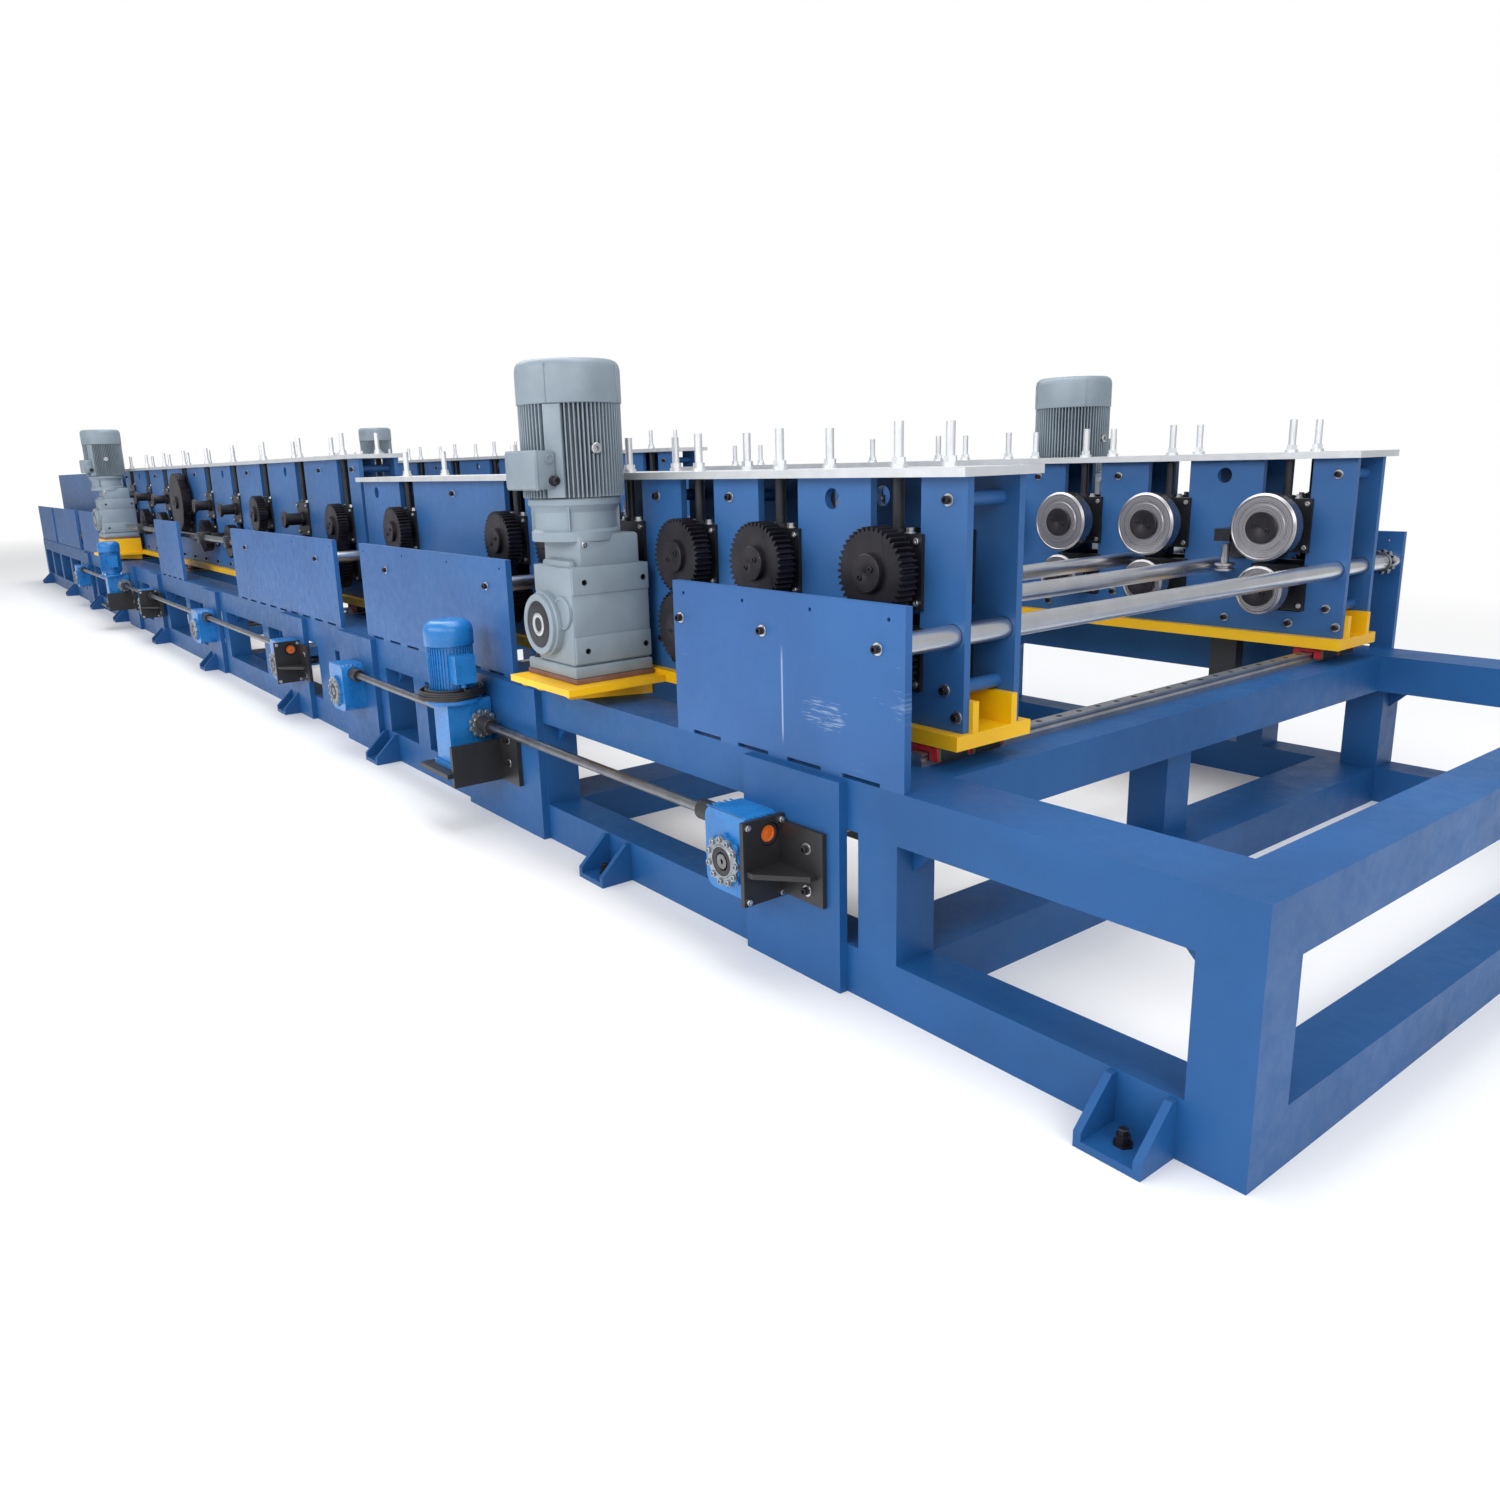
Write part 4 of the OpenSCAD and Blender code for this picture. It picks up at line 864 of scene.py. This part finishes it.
bearer = block((-40, 40), (-50, 50), (-45, 45), 6)
bearer_arm = block((-30, 30), (40, 189), (-32, 32), 4)
bearer = join("bearer", [bearer, bearer_arm])
for side in ("near", "far"):
    for letter, (d, z) in DRIVES.items():
        scatter(stub, [facing(d, 0, z, side)], f"{letter}_{side}_driven_shaft", f"raft_{letter}_{side}", shaft_steel)
    scatter(side_roll, [facing(1490, INNER_Y + 108, 1012, side)], f"a_{side}_side_roll", f"raft_a_{side}", turned)
    body = f"raft_b_{side}"
    scatter(line_bar, [facing(LINE_TO, LINE_Y, LINE_Z, side)], f"b_{side}_line_shaft", body, shaft_steel)
    scatter(spline, [facing(LINE_FROM + 200, LINE_Y, LINE_Z, side)], f"b_{side}_spline", body, zinc)
    scatter(bearer, [facing(d, LINE_Y, LINE_Z, side) for d in (8160, 9020, 11620)], f"b_{side}_bearers", body, cast)
print("line shaft length:", LINE_TO - LINE_FROM, "mm")

# %% [markdown]
# Fasteners: socket head screws with bright washers through the side plates, at the guide bars and
# round the bearing blocks, and hexagon heads on the blocks' tops. Their places are lists read off
# the construction: the ties, the yellow ribs, the bars and the stands.

# %% Screw places
A_TIES, B_TIES, C_TIES = [1110, 2091, 2538, 4384], [5820, 6440, 8170, 9900, 11630, 13200], [14300, 16200, 18600]
C_PLATES_FROM, C_PLATES_TO = 14080, 18850
TOPS = {"a": 1465, "b": 1600}
FOOT_SCREWS = {"a": [1064, 1255, 1532, 1980, 2450, 2980, 3450, 3950, 4400, 4750, 5250, 5600],
               "b": [5740] + [6000 + 432 * i for i in range(1, 17)] + [13290]}
STAND_SPOTS = {"a": A_STANDS, "b": B_STANDS}
heads = {}


def fasten(body, where_to):
    heads.setdefault(body, []).append(where_to)


for side in ("near", "far"):
    for letter, ties in (("a", A_TIES), ("b", B_TIES)):
        body = f"raft_{letter}_{side}"
        spots = [(d, TOPS[letter] - 62) for d in ties] + [(d, 871) for d in ties]
        spots += [(d, 800) for d in FOOT_SCREWS[letter]]
        for d, z in spots:
            fasten(body, facing(d, RAFT_Y, z, side))
            fasten(body, facing(d, INNER_Y, z, side) @ INWARDS)
    bars = [1085, 1568, 1990, 3450, 4629, 5765, 7320]
    for d in bars if side == "near" else bars[1:]:
        fasten("base", facing(d, 0, 1030, side))
print("screw places:", sum(len(spots) for spots in heads.values()))

# %% Screws and washers
for body, spots in heads.items():
    scatter(screw, spots, body + "_screws", body, oxide)
    scatter(washer, spots, body + "_washers", body, zinc)

# %% [markdown]
# Every bearing block is held from the raft's inside by screws at its corners, and two hexagon heads
# on its top close it. Small heads are enough here, so they have few faces.

# %% Block screws
WINDOW = 200
corner_screw = turned_shape("corner_screw", [(0, 0), (0, 9), (-1, 10), (-8, 10), (-9, 9), (-9, 5), (-5, 4), (-5, 0)], 10)
top_bolt = turned_shape("top_bolt", [(0, 0), (0, 17), (3, 17), (3, 12), (15, 12), (16, 10), (16, 0)], 6)
top_bolt.data.transform(UPRIGHT)
for letter, stands in STAND_SPOTS.items():
    for side in ("near", "far"):
        corners, tops = [], []
        for d, z, teeth in stands:
            for level, half in ((z, 92), (z + MESH, 108)):
                for across in (-1, 1):
                    for up in (-1, 1):
                        corners.append(facing(d + across * (WINDOW / 2 - 2), INNER_Y + 12, level + up * (half - 20), side)
                                       @ INWARDS)
                        corners.append(facing(d + across * (WINDOW / 2 - 2), RAFT_Y - 12, level + up * (half - 20), side))
            for across in (-48, 48):
                for y in (RAFT_Y + PLATE / 2, INNER_Y - PLATE / 2):
                    tops.append(facing(d + across, y, z + MESH + 108, side))
        body = f"raft_{letter}_{side}"
        scatter(corner_screw, corners, body + "_block_screws", body, zinc)
        scatter(top_bolt, tops, body + "_block_bolts", body, zinc)
print("block screws placed")

# %% [markdown]
# Linear rails are screwed down through counterbored holes, closed with flat plugs 105 mm apart. A
# carriage block has a red wiper and a green ball guide at each of its ends, cut out round the rail.

# %% Rails and carriage blocks
RAIL_TOP = 690
RAILS = {"a": [1160, 3160, 4930], "b": [6010, 8300, 10500, 12900], "c": [14600, 16600, 18500]}
rail_plug = turned_shape("rail_plug", [(0, 0), (0, 10.5), (0.7, 10), (0.7, 8.5), (0.1, 8), (0.1, 0)], 14)
rail_plug.data.transform(UPRIGHT)
plug_spots = [Matrix.Translation(place(d, 268 + 105 * i, RAIL_TOP)) for rails in RAILS.values() for d in rails
              for i in range(25)]
scatter(rail_plug, plug_spots, "rail_plugs", "base", oxide)


def end_piece(name, front, back, grow):
    """A U-shaped end plate of a carriage block between two depths, in mm from the block's end."""
    legs = [block((-58 - grow, -25), (front, back), (666 - grow, 710), 2, 1),
            block((25, 58 + grow), (front, back), (666 - grow, 710), 2, 1)]
    return join(name, legs + [block((-26, 26), (front, back), (692, 710), 1, 1)])


wiper = end_piece("wiper", -17, -5, 0)
guide = end_piece("ball_guide", -5, 0.5, 1)
for letter, rails in RAILS.items():
    for side in ("near", "far"):
        spots = []
        for d in rails:
            for y in (RAFT_Y - 20, RAFT_Y + 128):
                spots.append(facing(d, y, 0, side))
                spots.append(facing(d, y + 112, 0, side) @ Matrix.Diagonal((1, -1, 1, 1)))
        body = f"raft_{letter}_{side}"
        scatter(wiper, spots, body + "_wipers", body, seal_red)
        scatter(guide, spots, body + "_ball_guides", body, cap_green)
print("rail plugs:", len(plug_spots))

# %% [markdown]
# The adjusting reducers have a scalloped bright flange on their output, screwed down in each lobe,
# with a black seal and the screw's end in its middle. Their worm is closed by an orange cap.

# %% Reducer flanges
LOBES = 11


def lobed_ring(name, radius, deep, bore, lobes=LOBES, wave=5):
    made = start("primitive_circle_add", vertices=88, radius=1, fill_type="NOTHING")
    ring = bmesh.from_edit_mesh(made.data)
    for vert in ring.verts:
        angle = math.atan2(vert.co.y, vert.co.x)
        reach = radius + wave * math.cos(lobes * angle)
        vert.co = (mm(reach) * math.cos(angle), 0, mm(reach) * math.sin(angle))
    bmesh.update_edit_mesh(made.data)
    bpy.ops.mesh.select_mode(type="EDGE")
    bpy.ops.mesh.select_all(action="SELECT")
    bpy.ops.mesh.extrude_edges_move(TRANSFORM_OT_translate={"value": (0, -mm(deep), 0)})
    bpy.ops.mesh.edge_face_add()
    bpy.ops.mesh.select_mode(type="FACE")
    pick(lambda c, n: abs(n.y) > 0.9)
    bpy.ops.mesh.inset(thickness=mm(1.5), depth=0)
    bpy.ops.mesh.select_all(action="SELECT")
    bpy.ops.mesh.normals_make_consistent(inside=False)
    ring = done(30)
    lip = turned_shape(name + "_lip", [(0, bore), (-deep - 3, bore), (-deep - 3, bore + 4), (-deep, bore + 7), (0, bore + 7),
                                       (0, bore)], 36)
    studs = copies(corner_screw, [Matrix.Translation((mm(radius - 8) * math.cos(a), -mm(deep - 2), mm(radius - 8) * math.sin(a)))
                                  for a in [2 * math.pi * i / lobes for i in range(lobes)]], name + "_studs")
    return join(name, [ring, lip, studs])


REDUCERS = [1576, 5155, 6326, 8540, 10738, 14901]
HELD = [1576, 6326, 10738]
SCREW_Z, WORM_Z, WORM_Y, HUB_FACE = 342, 445, -90, -162
flange = lobed_ring("output_flange", 76, 8, 46)
seal_ring = turned_shape("reducer_seal", [(-7, 0), (-7, 46), (-9, 46), (-10, 44), (-10, 30), (-8, 28), (-8, 0)], 32)
screw_end = turned_shape("screw_end", [(-7, 0), (-7, 24), (-10, 24), (-11, 22), (-11, 9), (-8, 7), (-8, 0)], 24)
spots = [Matrix.Translation(place(d, HUB_FACE, SCREW_Z)) for d in REDUCERS]
scatter(flange, spots, "reducer_flanges", "base", die_cast)
scatter(seal_ring, spots, "reducer_seals", "base", bracket_black)
scatter(screw_end, spots, "screw_ends", "base", shaft_steel)
rib_bar = join("reducer_ribs", [block((-100, 100), (-150 + 22 * i, -144 + 22 * i), (492, 496), 1, 1) for i in range(5)]
               + [block((-111, -105), (-146, -34), (260 + 28 * i, 264 + 28 * i), 1, 1) for i in range(5)])
scatter(rib_bar, [Matrix.Translation(place(d, 0, 0)) for d in REDUCERS], "reducer_cooling_ribs", "base", reducer_blue)
star = lobed_ring("star_nut", 46, 22, 34, 12, 7)
scatter(star, [facing(1085, 130, 1030, "far")], "star_nut", "base", die_cast)
print("reducers dressed:", len(REDUCERS))

# %% Reducer brackets
worm_cap = turned_shape("worm_cap", [(0, 0), (0, 27), (6, 27), (8, 25), (8, 22), (6, 20), (6, 8), (7, 6), (7, 0)], 32)
worm_ring = turned_shape("worm_ring", [(0, 26), (9, 26), (10, 28), (10, 35), (0, 37), (0, 26)], 32)
caps = [Matrix.Translation(place(d - 117.5, WORM_Y, WORM_Z)) @ TO_ENTRY for d in HELD]
scatter(worm_cap, caps, "worm_caps", "base", cap_orange)
scatter(worm_ring, caps, "worm_seals", "base", bracket_black)
bracket_spots = []
for d in HELD:
    for y in (-174, -46):
        for z in (252, 482):
            bracket_spots.append(Matrix.Translation(place(d - 133.5, y, z)) @ TO_ENTRY @ INWARDS)
small = [Matrix.Translation(place(d - 250, -46, z)) for d in HELD for z in (290, 420)]
scatter(corner_screw, bracket_spots, "bracket_corner_screws", "base", zinc)
scatter(screw, small + [Matrix.Translation(place(d - 250, -50, z)) for d in (3500, 12060) for z in (290, 390)],
        "bracket_screws", "base", oxide)
scatter(washer, small + [Matrix.Translation(place(d - 250, -50, z)) for d in (3500, 12060) for z in (290, 390)],
        "bracket_washers", "base", zinc)
print("bracket screws:", len(bracket_spots) + len(small))

# %% [markdown]
# Black couplings join the long adjusting shafts to the worms. A coupling is a sleeve with a groove
# at each end.

# %% Couplings
RUNS = [(1693.5, 5037.5), (6443.5, 8422.5), (8657.5, 10620.5), (10855.5, 14783.5)]
sleeve = turned_shape("coupling", [(-4, 0), (-4, 31), (-2, 33.5), (20, 33.5), (21, 32.5), (24, 32.5), (25, 33.5),
                                   (84, 33.5), (87, 31), (87, 20), (92, 19), (92, 0)], 32)
sleeves = []
for start_d, end_d in RUNS:
    sleeves.append(Matrix.Translation(place(start_d, WORM_Y, WORM_Z)) @ TO_ENTRY @ INWARDS)
    sleeves.append(Matrix.Translation(place(end_d, WORM_Y, WORM_Z)) @ TO_ENTRY)
for d in (3500, 12060):
    sleeves.append(Matrix.Translation(place(d - 98, WORM_Y, WORM_Z)) @ TO_ENTRY)
    sleeves.append(Matrix.Translation(place(d + 98, WORM_Y, WORM_Z)) @ TO_ENTRY @ INWARDS)
scatter(sleeve, sleeves, "couplings", "base", bracket_black)
print("couplings:", len(sleeves))

# %% [markdown]
# The small motors have cooling fins, a rounded fan cover, and a bright lobed flange on each side of
# the reducer under them.

# %% Small motors
SMALL_Y = -170
small_fin = block((88, 99), (-1.6, 1.6), (600, 796), 0.8, 1)
small_fins = copies(small_fin, [Matrix.Rotation(math.radians(a), 4, "Z") for a in range(0, 360, 8)], "small_fins")
MODELS.add(small_fin.name)
small_cover = turned_shape("small_cover", [(794, 0), (794, 104), (796, 105), (858, 105), (872, 102), (884, 94), (893, 82),
                                           (899, 66), (900, 50), (897, 48), (897, 0)], 40)
small_cover.data.transform(UPRIGHT)
collar_ring = turned_shape("small_flange", [(546, 0), (546, 120), (548, 122), (562, 122), (564, 120), (564, 96), (572, 84),
                                            (592, 82), (592, 0)], 40)
collar_ring.data.transform(UPRIGHT)
bolt_ring = copies(top_bolt, [Matrix.Translation((mm(104) * math.cos(a), mm(104) * math.sin(a), mm(563)))
                              for a in (0.785, 2.356, 3.927, 5.498)], "flange_bolts")
small_body = join("small_motor", [small_fins, small_cover, collar_ring])
spots = [Matrix.Translation(place(d, SMALL_Y, 0)) for d in (3500, 12060)]
scatter(small_body, spots, "small_motor_shells", "base", reducer_blue)
scatter(bolt_ring, spots, "small_motor_bolts", "base", zinc)
side_flange = lobed_ring("side_flange", 62, 6, 38)
spots = [Matrix.Translation(place(d - 94, WORM_Y, WORM_Z)) @ TO_ENTRY @ INWARDS for d in (3500, 12060)]
spots += [Matrix.Translation(place(d + 94, WORM_Y, WORM_Z)) @ TO_ENTRY for d in (3500, 12060)]
scatter(side_flange, spots, "side_flanges", "base", die_cast)
print("small motors dressed")

# %% [markdown]
# Each gusseted foot is held to the floor by a dark anchor bolt with its washer and nut.

# %% Foot bolts
anchor = turned_shape("anchor", [(20, 0), (20, 24), (24, 24), (24, 18), (44, 18), (45, 12), (58, 12), (60, 10), (60, 0)], 6)
anchor.data.transform(UPRIGHT)
FEET = [249, 2462, 4775, 6439, 8626, 10563, 12700, 14300, 16400, 18900]
scatter(anchor, [facing(d, -65, 0, side) for d in FEET for side in ("near", "far")], "anchor_bolts", "base", oxide)
print("anchor bolts:", 2 * len(FEET))

# %% [markdown]
# The floor is plain and pale, and runs far beyond the view.

# %% Floor
floor = start("primitive_plane_add", size=90, location=(0, 0, 0))
bpy.ops.mesh.subdivide(number_cuts=2)
floor = done()
floor.name = "floor"
floor_paint, tree, shader, where = material("pale_floor_paint")
shader.inputs["Base Color"].default_value = colour("#f0f0f0")
shader.inputs["Roughness"].default_value = 0.7
shrunk = add(tree, "ShaderNodeMapping", {"Scale": (1 / 11, 1 / 4, 0)}, Vector=where)
away = add(tree, "ShaderNodeVectorMath", {"operation": "LENGTH"}, i_0=shrunk.outputs["Vector"])
fade = add(tree, "ShaderNodeMapRange", {"From Min": 1.0, "From Max": 2.3}, Value=away.outputs["Value"])
seen = add(tree, "ShaderNodeLightPath")
share = add(tree, "ShaderNodeMath", {"operation": "MULTIPLY"}, i_0=fade.outputs["Result"], i_1=seen.outputs["Is Camera Ray"])
white = add(tree, "ShaderNodeEmission", {"Strength": 1.0})
blend = add(tree, "ShaderNodeMixShader", {}, i_0=share.outputs["Value"], i_1=shader.outputs["BSDF"],
            i_2=white.outputs["Emission"])
tree.links.new(blend.outputs["Shader"], tree.nodes["Material Output"].inputs["Surface"])
floor.data.materials.append(floor_paint)

# %% [markdown]
# The hall is lit softly from above, as by rows of skylights, with a little more light from the
# camera's side. The world is pale, so that bright metal has something to show.

# %% Light
world = bpy.data.worlds.new("studio")
bpy.context.scene.world = world
world.use_nodes = True
sky = world.node_tree.nodes["Background"]
path_kind = add(world.node_tree, "ShaderNodeLightPath")
background = add(world.node_tree, "ShaderNodeMix", {"data_type": "RGBA"})
background.inputs[6].default_value = (0.5, 0.51, 0.53, 1)
background.inputs[7].default_value = (1, 1, 1, 1)
world.node_tree.links.new(path_kind.outputs["Is Camera Ray"], background.inputs[0])
world.node_tree.links.new(background.outputs[2], sky.inputs["Color"])


def lamp(name, where_to, aim, size, power):
    data = bpy.data.lights.new(name, "AREA")
    data.shape = "RECTANGLE"
    data.size, data.size_y = size
    data.energy = power
    made = bpy.data.objects.new(name, data)
    made.location = where_to
    made.rotation_mode = "QUATERNION"
    made.rotation_quaternion = (Vector(aim) - Vector(where_to)).to_track_quat("-Z", "Y")
    bpy.context.scene.collection.objects.link(made)
    return made


lamp("skylights", (1, 0, 9), (1, 0, 0), (22, 5), 1200)
lamp("side_windows", (6, -11, 6), (3, 0, 0.8), (18, 5), 1100)
lamp("end_door", (16, -3, 5), (8, 0, 0.8), (6, 4), 300)
bpy.context.scene.view_settings.view_transform = "Standard"
print("lamps:", len(bpy.data.lights))

# %% Clearing away the shapes that were copied
for model in MODELS:
    bpy.data.objects.remove(bpy.data.objects[model], do_unlink=True)
